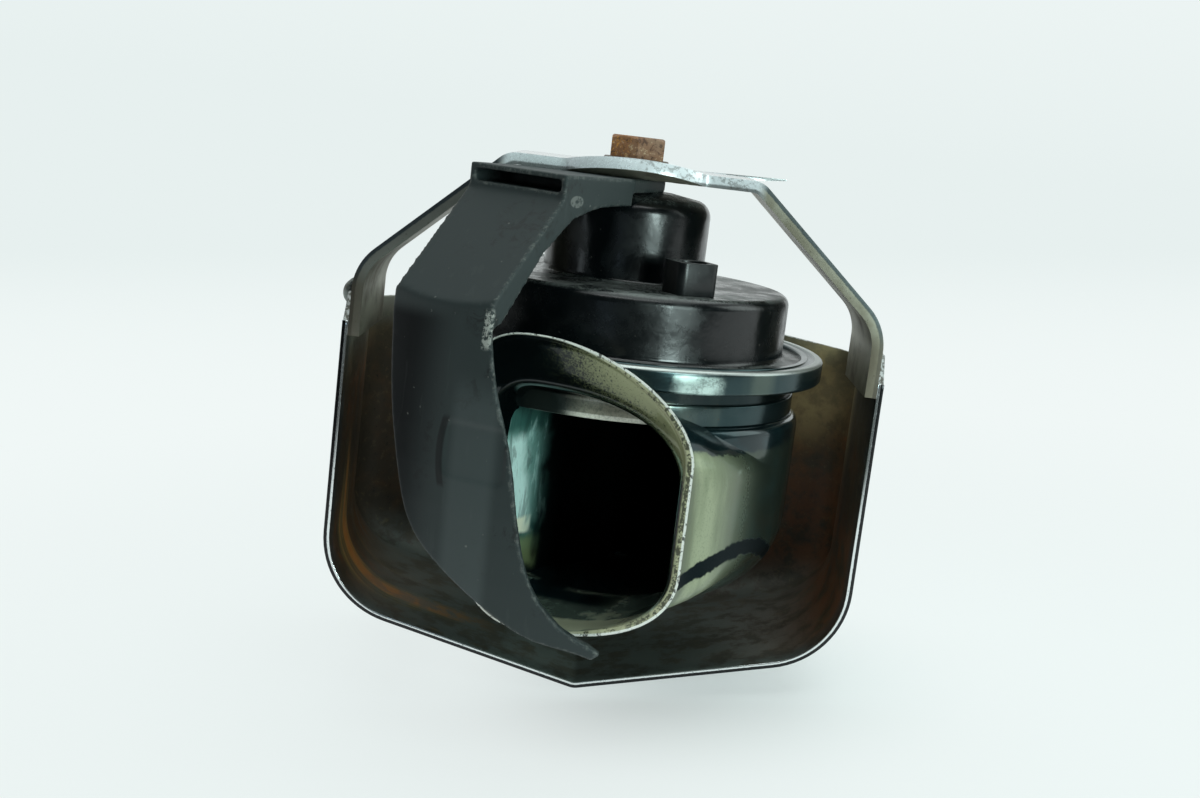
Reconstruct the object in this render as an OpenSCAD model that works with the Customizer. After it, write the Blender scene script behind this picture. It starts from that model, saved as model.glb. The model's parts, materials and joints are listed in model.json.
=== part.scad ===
// Electric motorcycle horn in its pressed cover.
// The horn hangs by one bolt from a strap that is welded across the open back of the cover.
// The origin is on the bolt's axis, on the top face of the strap. +Z is up, -Y faces out of the
// cover's open back, and -X is to the left of someone who looks into it.

/* [Cover] */
// Width of the cover across its open back
cover_w = 131.8; // [126:0.2:150]
// Height of the cover from the ends of its rim down to its lowest point
cover_h = 85.8; // [82:0.2:105]
// Depth of the cover from its open back to the edge of its front face
cover_d = 75; // [72:0.5:95]
// How far the open back lies in front of the bolt
cover_back = 17; // [14:0.5:24]
// Drop from the strap's top face to the ends of the rim
rim_drop = 44.7; // [42:0.1:50]
// Thickness of the cover's pressed sheet
cover_t = 1.5; // [1:0.1:2.2]
// Radius of the two lower corners
cover_r = 22; // [14:0.5:30]
// Slope of each half of the bottom, in degrees
cover_v = 13.3; // [8:0.1:18]
// How much each side swells toward the front
cover_flare = 6; // [1:0.5:9]
// Radius of the edge round the front face
cover_edge_r = 9; // [4:0.5:14]
// How far the front face is crowned
cover_crown = 4; // [1:0.5:12]
// Rise of the front face's top edge from its ends to its middle
roof_rise = 9; // [2:0.5:14]
// How far the side walls rise above the ends of the rim, where the strap is welded on
ear_rise = 6.5; // [3:0.5:9]

/* [Strap] */
// Width of the strap
strap_w = 34.6; // [28:0.2:38]
// Thickness of the strap
strap_t = 2.8; // [2:0.1:4]
// Length of the strap's flat top, from bend to bend
strap_flat = 60.8; // [54:0.2:70]
// Drop from the flat top to the bends above the feet
strap_drop = 30.8; // [26:0.2:34]
// Outer radius of the two upper bends
strap_top_r = 6; // [4.5:0.5:10]
// Outer radius of the two lower bends
strap_foot_r = 14; // [6:0.5:18]
// Length of each foot below the ends of the rim
foot_lap = 3.5; // [2:0.5:14]
// Radius of the round pad under the bolt
pad_r = 24; // [20:0.5:28]
// Height to which the near lip of the pad is turned up
pad_lip = 2; // [0.5:0.1:3]
// Length of the pointed corner left at the far right bend
ear_l = 8.6; // [2:0.2:12]
// Radius of the weld beads
weld_r = 2.2; // [1.6:0.1:3]
// Radius of the heavy bead at the near end on the left
heavy_weld_r = 3.4; // [2.2:0.1:4]

/* [Bolt] */
// Thread diameter of the mounting bolt
bolt_d = 8; // [6:0.5:10]
// Width of the bolt's head across its flats
bolt_af = 13; // [10:0.5:17]
// Height of the bolt's head
bolt_head = 5.3; // [4:0.1:7]
// Length of the bolt below its head
bolt_l = 20; // [16:0.5:22]
// Diameter of the washer under the head
washer_d = 16; // [14:0.5:20]
// Thickness of the washer
washer_t = 1.6; // [1:0.1:2.5]
// Clearance round the bolt in the holes that it passes through, on the radius
bolt_gap = 0.3; // [0.2:0.05:0.5]

/* [Shroud] */
// Direction of the shroud's arm, in degrees to the left of straight out of the back
shroud_az = 33.5; // [25:0.5:36]
// Width of the arm
arm_w = 27.2; // [26:0.2:30]
// Thickness of the arm's top plate, between the strap and the horn
arm_t = 3.2; // [2.5:0.1:5]
// Distance from the bolt to the front lip of the arm
arm_reach = 47.2; // [44:0.2:52]
// Height of the front lip
lip_h = 5.4; // [4.8:0.1:8]
// Thickness of the shroud's moulded walls
shroud_t = 2.6; // [2:0.1:3.2]
// Outer radius of the curved shield, measured from the bolt
shield_r = 69.5; // [68:0.5:80]
// Drop from the strap's top face to the crease where the shield begins
crease_drop = 32; // [28:0.5:36]
// Width of the slot in the front lip
slot_w = 24.4; // [10:0.2:25]
// Height of the slot in the front lip
slot_h = 2.8; // [1.5:0.1:3.2]
// Depth of the slot
slot_d = 9; // [4:0.5:14]
// Depth of the arm's side webs
web_h = 6.2; // [4:0.2:9]
// Radius of the arm's hub round the bolt
hub_r = 7.5; // [6.5:0.1:9]
// Depth of the sunk panel on the shield
recess_d = 0.6; // [0.3:0.1:1.2]

/* [Motor] */
// Outer radius of the upper can
can_r = 20; // [18:0.2:23]
// Outer radius of the drum
drum_r = 42; // [38:0.2:44]
// Height of the can above the drum
can_h = 21.4; // [20.5:0.1:24]
// Height of the drum above the flange
drum_h = 15.6; // [15:0.1:18]
// Thickness of the housing's sheet
housing_t = 1.2; // [0.8:0.1:1.6]
// How far the crimped rim stands out beyond the drum
rim_w = 10.3; // [9:0.1:11.5]
// Thickness of the crimped rim's sheet
crimp_t = 1; // [0.8:0.1:1.5]
// Thickness of each gasket
gasket_t = 0.4; // [0.3:0.1:1]
// Thickness of the diaphragm
diaphragm_t = 0.3; // [0.25:0.05:0.6]
// Radius of the iron core
core_r = 6.2; // [5.8:0.1:7.5]
// Free gap between the core and the armature
air_gap = 0.9; // [0.7:0.05:1.5]
// Radius of the armature
armature_r = 7.4; // [6.5:0.1:8]
// Radius of the armature's lifting collar
collar_r = 12.2; // [11:0.1:13]
// Radius of the armature's stem
stem_r = 2.4; // [2:0.1:3]

/* [Breaker] */
// Distance of the adjusting screw inward from the drum's side
adjuster_in = 10; // [9:0.1:11]
// Direction of the adjusting screw, in degrees to the right of straight out of the back
adjuster_az = 29; // [15:0.5:45]
// Width of the boss round the adjusting screw
boss_w = 10.6; // [9.5:0.1:12]
// Height of that boss
boss_h = 7.6; // [6:0.1:9]
// Radius of the adjusting screw
screw_r = 2.2; // [1.8:0.1:2.6]
// Thickness of the moving contact spring
spring_t = 0.4; // [0.3:0.05:0.5]
// Thickness of the fixed contact arm
fixed_t = 0.6; // [0.5:0.05:0.9]
// Height of each contact point
point_h = 0.6; // [0.5:0.05:0.8]
// Width of a blade terminal
blade_w = 6.3; // [4.8:0.1:6.5]
// Thickness of a blade terminal
blade_t = 0.8; // [0.5:0.1:1]
// Length of a blade terminal above its block
blade_l = 9.5; // [8:0.1:12]

/* [Projector] */
// Direction that the mouth faces, in degrees to the left of straight out of the back
mouth_az = 17; // [10:0.5:20]
// Distance from the bolt's axis to the plane of the mouth
mouth_reach = 57; // [56:0.2:60]
// Distance from the mouth's highest point to its right side
mouth_right = 36.6; // [34:0.2:38]
// Distance from the mouth's highest point to its left side
mouth_left = 18; // [16:0.2:20]
// How far the mouth's highest point lies to the right of the horn's axis
mouth_off = 1.5; // [0:0.2:4]
// How far the scroll stands out beyond the drum
scroll_w = 6; // [5:0.1:6.5]
// Height of the scroll below its top plate
scroll_h = 45.5; // [42:0.5:48]
// Rise of the scroll's floor from its lowest side to its highest
scroll_lift = 15; // [4:0.5:20]
// Thickness of the projector's sheet
scroll_t = 1.2; // [0.8:0.1:1.5]
// Radius of the scroll's lower edge
scroll_edge_r = 16; // [10:0.5:20]
// Height of the top plate's skirt
skirt_h = 4.8; // [4:0.1:6]
// Radius of the throat under the diaphragm
throat_r = 8; // [7:0.1:10]

/* [Hidden] */
$fn = 64;

// Clearance between flat or round pieces that are put together loosely
fit = 0.1;
// Room for a cut to run past the face that it opens
over = 1;

// Levels, from the strap's top face down
strap_z = -strap_t;
can_z = strap_z - arm_t;
drum_z = can_z - can_h;
flange_z = drum_z - drum_h;
gasket_z = flange_z - housing_t;
diaphragm_z = gasket_z - gasket_t;
lower_gasket_z = diaphragm_z - diaphragm_t;
plate_z = lower_gasket_z - gasket_t;
plate_rim_t = 1.2;
groove_z = plate_z - plate_rim_t - crimp_t;
groove_h = 3.7;
skirt_z = groove_z - groove_h;
scroll_z = skirt_z - skirt_h;
scroll_floor_z = scroll_z - scroll_h;
rim_z = -rim_drop;
cover_low_z = rim_z - cover_h;

// The strap's foot stands against the cover's inner face
foot_x = cover_w / 2 - cover_t - fit;
foot_z = rim_z - foot_lap;
leg_slope = atan2(strap_drop, foot_x - strap_flat / 2);
front_y = cover_d - cover_back;

// The ring's seat on the housing's flange
rim_r = drum_r + rim_w;
scroll_r = drum_r + scroll_w;
flange_r = rim_r - crimp_t - fit;
seat_r = drum_r + 4.8;

// Breaker levels, below the drum's top
adjuster_r = drum_r - adjuster_in;
chamber_z = drum_z - housing_t;
core_end_z = chamber_z - 0.6;
armature_z = core_end_z - air_gap;
stack_top_h = 2.9;
spring_z = chamber_z - stack_top_h;
fixed_z = spring_z - spring_t - 2 * point_h;
collar_gap = 0.1;
collar_z = spring_z - spring_t - collar_gap;
stack_d = [adjuster_r + 1.5, drum_r - housing_t - 2.4];
spring_x = [-9, -3];
fixed_x = [-9, 3.2];
contact_d = 18;

// Points of an arc round c, from angle a0 to a1
function arc(c, r, a0, a1, n) =
    [for (i = [0:n]) let (a = a0 + (a1 - a0) * i / n) [c[0] + r * cos(a), c[1] + r * sin(a)]];

// Points of a smooth curve through the given ones, with n to each span
function curve(p, n = 4) =
    let (m = len(p) - 1, q = concat([2 * p[0] - p[1]], p, [2 * p[m] - p[m - 1]]))
    concat([for (i = [1:m]) for (j = [0:n - 1])
               let (t = j / n, a = q[i - 1], b = q[i], c = q[i + 1], d = q[i + 2])
               (2 * b + (c - a) * t + (2 * a - 5 * b + 4 * c - d) * t * t
                   + (3 * b - a - 3 * c + d) * t * t * t) / 2],
           [p[m]]);

// Side faces and two end faces that close m rings of n points. The rings run counterclockwise for
// someone who looks back at them from the last one
function ring_faces(n, m) =
    concat([[for (j = [0:n - 1]) j]],
           [for (i = [0:m - 2]) for (j = [0:n - 1])
               let (a = i * n + j, b = i * n + (j + 1) % n)
               each [[a, b + n, b], [a, a + n, b + n]]],
           [[for (j = [n - 1:-1:0]) (m - 1) * n + j]]);

module loft(rings) {
    polyhedron(points = [for (r = rings) each r],
               faces = ring_faces(len(rings[0]), len(rings)), convexity = 8);
}

// Extrudes an outline drawn in X and Z along Y, from y0 to y1
module along_y(y0, y1) {
    translate([0, y1, 0]) rotate([90, 0, 0]) linear_extrude(y1 - y0) children();
}

// Extrudes an outline drawn in Y and Z along X, from x0 to x1
module along_x(x0, x1) {
    translate([x0, 0, 0]) rotate([90, 0, 90]) linear_extrude(x1 - x0) children();
}

// Turns a piece drawn with its outward direction along -Y to a direction left of it
module facing(azimuth) {
    rotate([0, 0, -azimuth]) children();
}

// COVER

// Half outline of the cover on its right side, from the top down to the middle of the bottom
function half_cover(w, low, r, top) =
    let (s = cover_v, xc = w - r, zc = low + xc * tan(s) + r / cos(s), rv = 5)
    concat([[w, top]], arc([xc, zc], r, 0, s - 90, 9),
           arc([0, low + rv / cos(s)], rv, s - 90, -90, 2));

function cover_outline(w, low, r, top) =
    let (h = half_cover(w, low, r, top))
    concat(h, [for (i = [len(h) - 2:-1:0]) [-h[i][0], h[i][1]]]);

// How much the sides have swollen at a distance y from the bolt
function swell(y) = cover_flare * pow(max(0, y / (front_y - cover_edge_r)), 2);

// One ring of the cover, offset inward by t, at y
function cover_ring(y, t, inset = 0) =
    let (w = cover_w / 2 + swell(y) - t - inset,
         low = cover_low_z - swell(y) / 2 + t / cos(cover_v) + inset)
    [for (p = cover_outline(w, low, cover_r - t, 6 - inset)) [p[0], y, p[1]]];

// The rings of a closed body with a rounded front edge and a crowned face
function cover_rings(t, back) =
    let (e = cover_edge_r - t, y1 = front_y - cover_edge_r,
         last = cover_ring(y1, t, e), mid = rim_z - cover_h / 2,
         straight = [back, 0, 0.35 * y1, 0.6 * y1, 0.8 * y1])
    concat([for (y = straight) cover_ring(y, t)],
           [for (a = [0:22.5:90]) [for (p = cover_ring(y1, t, e * (1 - cos(a))))
               [p[0], p[1] + e * sin(a), p[2]]]],
           [for (f = [0.75, 0.5, 0.25, 0.04]) [for (p = last)
               [p[0] * f, y1 + e + cover_crown * (1 - f * f), mid + (p[2] - mid) * f]]]);

// Everything above the top edges of the walls and of the front face
module cover_top_cut() {
    half = cover_w / 2 + cover_flare;
    slope_y = front_y * 0.5;
    roof_z = rim_z - 3;
    along_x(-half - over, half + over)
        polygon([[-cover_back - over, rim_z], [-cover_back + 1, rim_z],
                 [-cover_back + 5, rim_z + ear_rise], [strap_w / 2, rim_z + ear_rise],
                 [slope_y, roof_z], [slope_y, 10], [-cover_back - over, 10]]);
    along_y(slope_y - 0.01, front_y + cover_crown + over)
        polygon([[-half - over, roof_z], [0, roof_z + roof_rise], [half + over, roof_z],
                 [half + over, 10], [-half - over, 10]]);
}

module cover_shell() {
    color("silver") difference() {
        loft(cover_rings(0, -cover_back));
        loft(cover_rings(cover_t, -cover_back - over));
        cover_top_cut();
    }
}

// STRAP

// Right half of one face of the strap, from its middle to its foot, t under the outer face
function strap_face(t) =
    let (a = leg_slope, b = 90 - a,
         top = [strap_flat / 2 - t * tan(a / 2), -t],
         low = [foot_x - t, -strap_drop - t * tan(b / 2)],
         rt = strap_top_r - t, rl = strap_foot_r - t,
         ct = [top[0] - rt * tan(a / 2), top[1] - rt],
         cl = [low[0] - rl, low[1] - rl * tan(b / 2)])
    concat([[0, -t]], arc(ct, rt, 90, 90 - a, 5), arc(cl, rl, b, 0, 6), [[foot_x - t, foot_z]]);

module strap_profile() {
    outer = strap_face(0);
    inner = strap_face(strap_t);
    n = len(outer) - 1;
    right = concat(outer, [for (i = [n:-1:0]) inner[i]]);
    polygon(right);
    polygon([for (p = right) [-p[0], p[1]]]);
}

module strap() {
    near = -strap_w / 2;
    color("lightsteelblue") difference() {
        union() {
            along_y(near, -near) strap_profile();
            difference() {
                translate([0, 0, strap_z]) cylinder(r = pad_r, h = strap_t);
                translate([-pad_r, -pad_r, strap_z - over])
                    cube([2 * pad_r, pad_r + near, strap_t + 2 * over]);
            }
            intersection() {
                along_x(-pad_r, pad_r)
                    polygon([[near, 0], [-pad_r - over, pad_lip], [-pad_r - over, pad_lip - strap_t],
                             [near, strap_z]]);
                translate([0, 0, -strap_t - over]) cylinder(r = pad_r, h = 2 * strap_t + 2 * over);
            }
            // corner left at the far right bend, thinned to a point
            along_y(-near - 5, -near)
                polygon([[strap_flat / 4, 0], [strap_flat / 2 + ear_l, 0.5],
                         [strap_flat / 2 - 1, -strap_t + 0.6], [strap_flat / 4, -strap_t + 0.6]]);
        }
        translate([0, 0, strap_z - over]) cylinder(r = bolt_d / 2 + bolt_gap, h = strap_t + 2 * over);
    }
}

// Quarter-round beads on the top edges of the side walls, against the strap's feet
module weld_beads() {
    z = rim_z + ear_rise;
    color("dimgray") for (side = [-1, 1]) for (y = [[-cover_back + 6, -3], [3, strap_w / 2 - 1]]) {
        r = side < 0 && y[0] < 0 ? heavy_weld_r : weld_r;
        intersection() {
            translate([side * foot_x, y[0], z]) rotate([-90, 0, 0]) cylinder(r = r, h = y[1] - y[0]);
            translate([side > 0 ? foot_x : -foot_x - r, y[0], z]) cube([r, y[1] - y[0], r]);
        }
    }
}

// BOLT

module hexagon(af, h) {
    cylinder(r = af / 2 / cos(30), h = h, $fn = 6);
}

module mounting_bolt() {
    color("sienna") union() {
        translate([0, 0, washer_t]) intersection() {
            rotate([0, 0, 30]) hexagon(bolt_af, bolt_head);
            rotate_extrude() polygon([[0, 0], [bolt_af, 0], [bolt_af, bolt_head - 2.6],
                                      [bolt_af / 2 * 0.97, bolt_head], [0, bolt_head]]);
        }
        translate([0, 0, washer_t - bolt_l]) cylinder(r = bolt_d / 2, h = bolt_l);
    }
}

module flat_washer() {
    color("rosybrown") difference() {
        cylinder(r = washer_d / 2, h = washer_t);
        translate([0, 0, -over]) cylinder(r = bolt_d / 2 + bolt_gap, h = washer_t + 2 * over);
    }
}

// SHROUD

// Outer radius of the shield at a height z: straight at first, then drawn gently inward
function shield_at(z) = shield_r - pow(max(0, -60 - z), 2) / 340;
shield_low = -108;
crease_z = -crease_drop;
lip_z = strap_z - lip_h;
web_in = 20;

module shield_wall() {
    zs = [crease_z + 4, -60, -68, -76, -84, -92, -100, shield_low];
    rotate_extrude(angle = 100, start = -160)
        polygon(concat([for (z = zs) [shield_at(z), z]],
                       [for (i = [len(zs) - 1:-1:0]) [shield_at(zs[i]) - shroud_t, zs[i]]]));
}

// The shield's edges as they are seen from the open back
module shield_outline() {
    left = [[-49.3, crease_z - 4], [-48.5, -48], [-46.9, -60], [-43.2, -76], [-40.2, -83],
            [-35.6, -88.2], [-26.3, -95.1], [-15.2, -101.6], [-9.3, -103.7], [-2.3, -104.8], [3, -106.2]];
    right = [[4.9, -104.7], [2.4, -103], [-3.6, -99.8], [-8, -95.9], [-11.2, -91.6], [-13.9, -85.5],
             [-16.4, -76], [-18.4, -66], [-20.7, -57.8], [-23.5, -49.5], [-25.4, -41], [-26.6, crease_z]];
    polygon(concat([[-49.2, crease_z + 0.8]], curve(left), curve(right), [[-26.4, crease_z + 0.8]]));
}

module shroud_arm() {
    half = arm_w / 2;
    slant = [[arm_reach, lip_z], [shield_r + 3, crease_z - 3 * (crease_z - lip_z) / (arm_reach - shield_r)]];
    // top plate, front lip and slanted face
    intersection() {
        along_x(-half, half)
            polygon([[-web_in, strap_z], [-arm_reach, strap_z], [-arm_reach, lip_z], [-slant[1][0], slant[1][1]],
                     [-slant[1][0], slant[1][1] - 1.5 * shroud_t], [-arm_reach + shroud_t, lip_z - shroud_t],
                     [-arm_reach + slot_d + shroud_t, lip_z - shroud_t / 2],
                     [-arm_reach + slot_d + shroud_t, strap_z - arm_t], [-web_in, strap_z - arm_t]]);
        translate([0, 0, crease_z - 20]) cylinder(r = shield_r - 0.4, h = 20 - crease_z);
    }
    // side webs
    intersection() {
        for (side = [-1, 1])
            along_x(side > 0 ? half - shroud_t : -half, side > 0 ? half : shroud_t - half)
                polygon([[-web_in, strap_z], [-arm_reach, strap_z], [-arm_reach, lip_z],
                         [-slant[1][0], slant[1][1]], [-slant[1][0], crease_z - web_h],
                         [-shield_r + 5, crease_z - web_h / 2], [-arm_reach - 5, lip_z - web_h - 5.6],
                         [-arm_reach + 4.5, strap_z - web_h - 3.6], [-arm_reach + 11, strap_z - web_h - 1.6],
                         [-arm_reach + 16, strap_z - web_h - 0.6], [-web_in, strap_z - web_h]]);
        translate([0, 0, crease_z - 20]) cylinder(r = shield_r - 0.6, h = 20 - crease_z);
    }
}

module shroud() {
    half = arm_w / 2;
    slope = (lip_z - crease_z) / (shield_r - arm_reach);
    color([0.2, 0.22, 0.22]) difference() {
        union() {
            facing(shroud_az) {
                shroud_arm();
                // tapered plate from the webs to the hub
                translate([0, 0, strap_z - arm_t]) linear_extrude(arm_t)
                    polygon([[-hub_r + 0.6, 4], [hub_r - 0.6, 4], [half, -web_in], [-half, -web_in]]);
            }
            translate([0, 0, strap_z - arm_t]) cylinder(r = hub_r, h = arm_t);
            difference() {
                intersection() {
                    shield_wall();
                    along_y(-shield_r - over, -10) shield_outline();
                }
                // the slanted face carries on over the shield's top edge
                facing(shroud_az) translate([0, 0, -0.15]) along_x(-shield_r, shield_r)
                    polygon([[-arm_reach, lip_z], [-shield_r - 20, lip_z - slope * (shield_r + 20 - arm_reach)],
                             [-shield_r - 20, 0], [0, 0], [0, lip_z + slope * arm_reach]]);
                // sunk panel
                difference() {
                    along_y(-shield_r - over, -40) hull()
                        for (x = [-32.2, -22]) for (z = [-58.8, -67.4])
                            translate([x, z]) circle(r = 2, $fn = 24);
                    translate([0, 0, -90]) cylinder(r = shield_r - recess_d, h = 60);
                }
            }
        }
        translate([0, 0, strap_z - arm_t - over])
            cylinder(r = bolt_d / 2 + bolt_gap, h = arm_t + 2 * over);
        facing(shroud_az) translate([-slot_w / 2, -arm_reach - over, strap_z - 1.2 - slot_h])
            cube([slot_w, slot_d + over, slot_h]);
    }
}

// MOTOR

// The can, drum and flange are one pressing. Its wall is drawn as an outer and an inner line
function housing_line(t) =
    concat([[0, can_z - t], [can_r * 0.52, can_z - t]],
           arc([can_r - 4.5 + 0.2, can_z - 5.2], 4.3 - t, 72, 0, 6),
           [[can_r - t, drum_z - t + (t > 0 ? 0 : 1.2)]],
           t > 0 ? [] : arc([can_r + 1.2, drum_z + 1.2], 1.2, 180, 270, 4),
           arc([drum_r - 2.5, drum_z - 2.5], 2.5 - t, 90, 0, 6),
           [[drum_r - t, flange_z - t + (t > 0 ? 0 : 1.5)]],
           t > 0 ? [] : arc([drum_r + 1.5, flange_z + 1.5], 1.5, 180, 270, 4));

module motor_housing() {
    outer = housing_line(0);
    inner = housing_line(housing_t);
    n = len(inner) - 1;
    color([0.08, 0.08, 0.09]) difference() {
        rotate_extrude() polygon(concat(outer, [[flange_r, flange_z], [flange_r, flange_z - housing_t]],
                                        [for (i = [n:-1:0]) inner[i]]));
        translate([0, 0, can_z - housing_t - over]) cylinder(r = bolt_d / 2 + bolt_gap, h = housing_t + 2 * over);
        // hole for the adjusting screw, and holes for the terminals' rivets
        facing(-adjuster_az) translate([0, -adjuster_r, chamber_z - over])
            cylinder(r = screw_r + 0.3, h = housing_t + 2 * over);
        for (x = [-1, 1]) translate([x * terminal_pitch / 2, terminal_y, chamber_z - over])
            cylinder(r = rivet_r, h = housing_t + 2 * over);
    }
}

// Channel-shaped ring folded over the housing's flange and the projector's plate
module crimp_ring() {
    top = flange_z + crimp_t;
    low = plate_z - plate_rim_t - crimp_t;
    color([0.1, 0.16, 0.16]) rotate_extrude() polygon(concat(
        [[seat_r, flange_z], [flange_r, flange_z], [flange_r, low + crimp_t], [seat_r, low + crimp_t],
         [seat_r, low]],
        arc([rim_r - crimp_t, low + crimp_t], crimp_t, -90, 0, 4),
        arc([rim_r - crimp_t, top - crimp_t], crimp_t, 0, 90, 4),
        // shallow groove pressed round the ring's top
        [[rim_r - 2.2, top], [rim_r - 2.6, top - 0.45], [rim_r - 3.4, top - 0.45], [rim_r - 3.8, top],
         [seat_r, top]]));
}

module core() {
    z0 = can_z - housing_t;
    color("gray") difference() {
        translate([0, 0, core_end_z]) cylinder(r = core_r, h = z0 - core_end_z);
        translate([0, 0, z0 - bolt_l]) cylinder(r = bolt_d / 2 + bolt_gap, h = bolt_l + over);
    }
}

bobbin_top = can_z - housing_t - 1.2;
bobbin_low = drum_z - housing_t + 1.6;
bobbin_r = can_r - housing_t - 0.6;
bobbin_t = 1.2;

module bobbin() {
    color("saddlebrown") rotate_extrude() polygon([
        [core_r + fit, bobbin_top], [bobbin_r - 2.8, bobbin_top], [bobbin_r - 2.8, bobbin_top - bobbin_t],
        [core_r + fit + bobbin_t, bobbin_top - bobbin_t], [core_r + fit + bobbin_t, bobbin_low + bobbin_t],
        [bobbin_r, bobbin_low + bobbin_t], [bobbin_r, bobbin_low], [core_r + fit, bobbin_low]]);
}

module coil() {
    color("peru") rotate_extrude() polygon([
        [core_r + fit + bobbin_t, bobbin_top - bobbin_t], [bobbin_r - 3, bobbin_top - bobbin_t],
        [bobbin_r - 1.2, bobbin_top - bobbin_t - 3], [bobbin_r - 1.2, bobbin_low + bobbin_t],
        [core_r + fit + bobbin_t, bobbin_low + bobbin_t]]);
}

module armature() {
    color("slategray") difference() {
        rotate_extrude() polygon([
            [0, armature_z], [armature_r, armature_z], [armature_r, collar_z], [collar_r, collar_z],
            [collar_r, collar_z - 1.2], [armature_r, collar_z - 1.2], [armature_r, collar_z - 4],
            [armature_r - 2, collar_z - 6], [0, collar_z - 6]]);
        translate([0, 0, collar_z - 6 - over]) cylinder(r = stem_r, h = 5 + over);
    }
}

stem_top = collar_z - 1;
stem_shoulder = diaphragm_z;

module armature_stem() {
    color("darkgray") union() {
        translate([0, 0, stem_shoulder - 4.6]) cylinder(r = stem_r, h = stem_top - stem_shoulder + 4.6);
        translate([0, 0, stem_shoulder]) cylinder(r = stem_r + 2.6, h = collar_z - 6 - stem_shoulder);
    }
}

module stem_nut() {
    color("silver") translate([0, 0, lower_gasket_z - 3.2]) difference() {
        hexagon(8, 3.2);
        translate([0, 0, -over]) cylinder(r = stem_r, h = 3.2 + 2 * over);
    }
}

// Sprung steel disc with a shallow raised ring pressed into it
module diaphragm() {
    t = diaphragm_t;
    z = diaphragm_z;
    color("lightgray") rotate_extrude() polygon([
        [stem_r, z - t], [20, z - t], [22, z - t + 0.35], [28, z - t + 0.35], [30, z - t],
        [flange_r - fit, z - t], [flange_r - fit, z], [30, z], [28, z + 0.35], [22, z + 0.35],
        [20, z], [stem_r, z]]);
}

module gasket(z) {
    color("burlywood") translate([0, 0, z - gasket_t]) difference() {
        cylinder(r = flange_r - fit, h = gasket_t);
        translate([0, 0, -over]) cylinder(r = drum_r + 1, h = gasket_t + 2 * over);
    }
}

// BREAKER AND TERMINALS

module at_breaker() {
    facing(-adjuster_az) children();
}

// A flat strip between two distances from the axis and two sideways places
module strip(x, d, z, t) {
    translate([x[0], -d[1], z - t]) cube([x[1] - x[0], d[1] - d[0], t]);
}

rivet_y = -(stack_d[0] + stack_d[1]) / 2;
rivet_x = [spring_x[0] + 1.4, spring_x[1] - 1.4];
rivet_r = 1;

module rivet_holes(z, h, r) {
    for (x = rivet_x) translate([x, rivet_y, z]) cylinder(r = r, h = h, $fn = 32);
}

stack_low = fixed_z - fixed_t - 1.2;

module breaker_stack() {
    color("saddlebrown") at_breaker() difference() {
        union() {
            strip(spring_x, stack_d, chamber_z, stack_top_h);
            strip(spring_x, stack_d, spring_z - spring_t, spring_z - spring_t - fixed_z);
            strip(spring_x, stack_d, fixed_z - fixed_t, 1.2);
        }
        rivet_holes(stack_low - over, chamber_z - stack_low + 2 * over, rivet_r);
    }
}

// The spring's clamped end, inside the stack
module spring_root() {
    color("goldenrod") at_breaker() difference() {
        strip(spring_x, stack_d, spring_z, spring_t);
        rivet_holes(spring_z - spring_t - over, spring_t + 2 * over, rivet_r);
    }
}

// The spring's free leaf, which the armature's collar lifts
module moving_spring() {
    color("goldenrod") at_breaker() strip(spring_x, [armature_r + 1.2, stack_d[0] - 0.3], spring_z, spring_t);
}

module fixed_arm() {
    color("darkgoldenrod") at_breaker() difference() {
        strip(fixed_x, [collar_r + 1.6, stack_d[1]], fixed_z, fixed_t);
        rivet_holes(fixed_z - fixed_t - over, fixed_t + 2 * over, rivet_r);
    }
}

module moving_point() {
    color("whitesmoke") at_breaker() translate([(spring_x[0] + spring_x[1]) / 2, -contact_d, spring_z - spring_t - point_h])
        cylinder(r = 1.6, h = point_h, $fn = 32);
}

module fixed_point() {
    color("whitesmoke") at_breaker() translate([(spring_x[0] + spring_x[1]) / 2, -contact_d, fixed_z])
        cylinder(r = 1.6, h = point_h, $fn = 32);
}

module breaker_rivets() {
    color("gold") at_breaker() {
        rivet_holes(stack_low, chamber_z - stack_low, rivet_r);
        rivet_holes(stack_low - 0.6, 0.6, rivet_r + 0.5);
    }
}

// Square boss with rounded corners and a well for the screw's head
module adjuster_boss() {
    h = boss_w / 2 - 2;
    color([0.1, 0.1, 0.11]) at_breaker() translate([0, -adjuster_r, drum_z]) difference() {
        linear_extrude(boss_h) hull() for (x = [-h, h]) for (y = [-h + 0.8, h - 0.8])
            translate([x, y]) circle(r = 2, $fn = 24);
        translate([0, 0, -over]) cylinder(r = screw_r + 0.3, h = boss_h + 2 * over);
        translate([0, 0, boss_h - 3]) cylinder(r = screw_r + 1.5, h = 3 + over);
    }
}

module adjusting_screw() {
    seat = drum_z + boss_h - 3;
    color("silver") at_breaker() translate([0, -adjuster_r, 0]) difference() {
        union() {
            translate([0, 0, fixed_z]) cylinder(r = screw_r, h = seat - fixed_z + over);
            translate([0, 0, seat]) cylinder(r = screw_r + 1.2, h = 1.8);
        }
        translate([-screw_r - 2, -0.5, seat + 1]) cube([2 * screw_r + 4, 1, 2]);
    }
}

terminal_y = drum_r - 11;
terminal_pitch = 12;
terminal_h = 3;

module terminal_block() {
    color([0.25, 0.12, 0.07]) translate([0, terminal_y, drum_z]) difference() {
        linear_extrude(terminal_h) hull() for (x = [-1, 1]) translate([x * (terminal_pitch / 2 + 0.6), 0])
            circle(r = 5, $fn = 32);
        for (x = [-1, 1]) translate([x * terminal_pitch / 2, 0, -over])
            cylinder(r = rivet_r, h = terminal_h + 2 * over, $fn = 32);
    }
}

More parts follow.
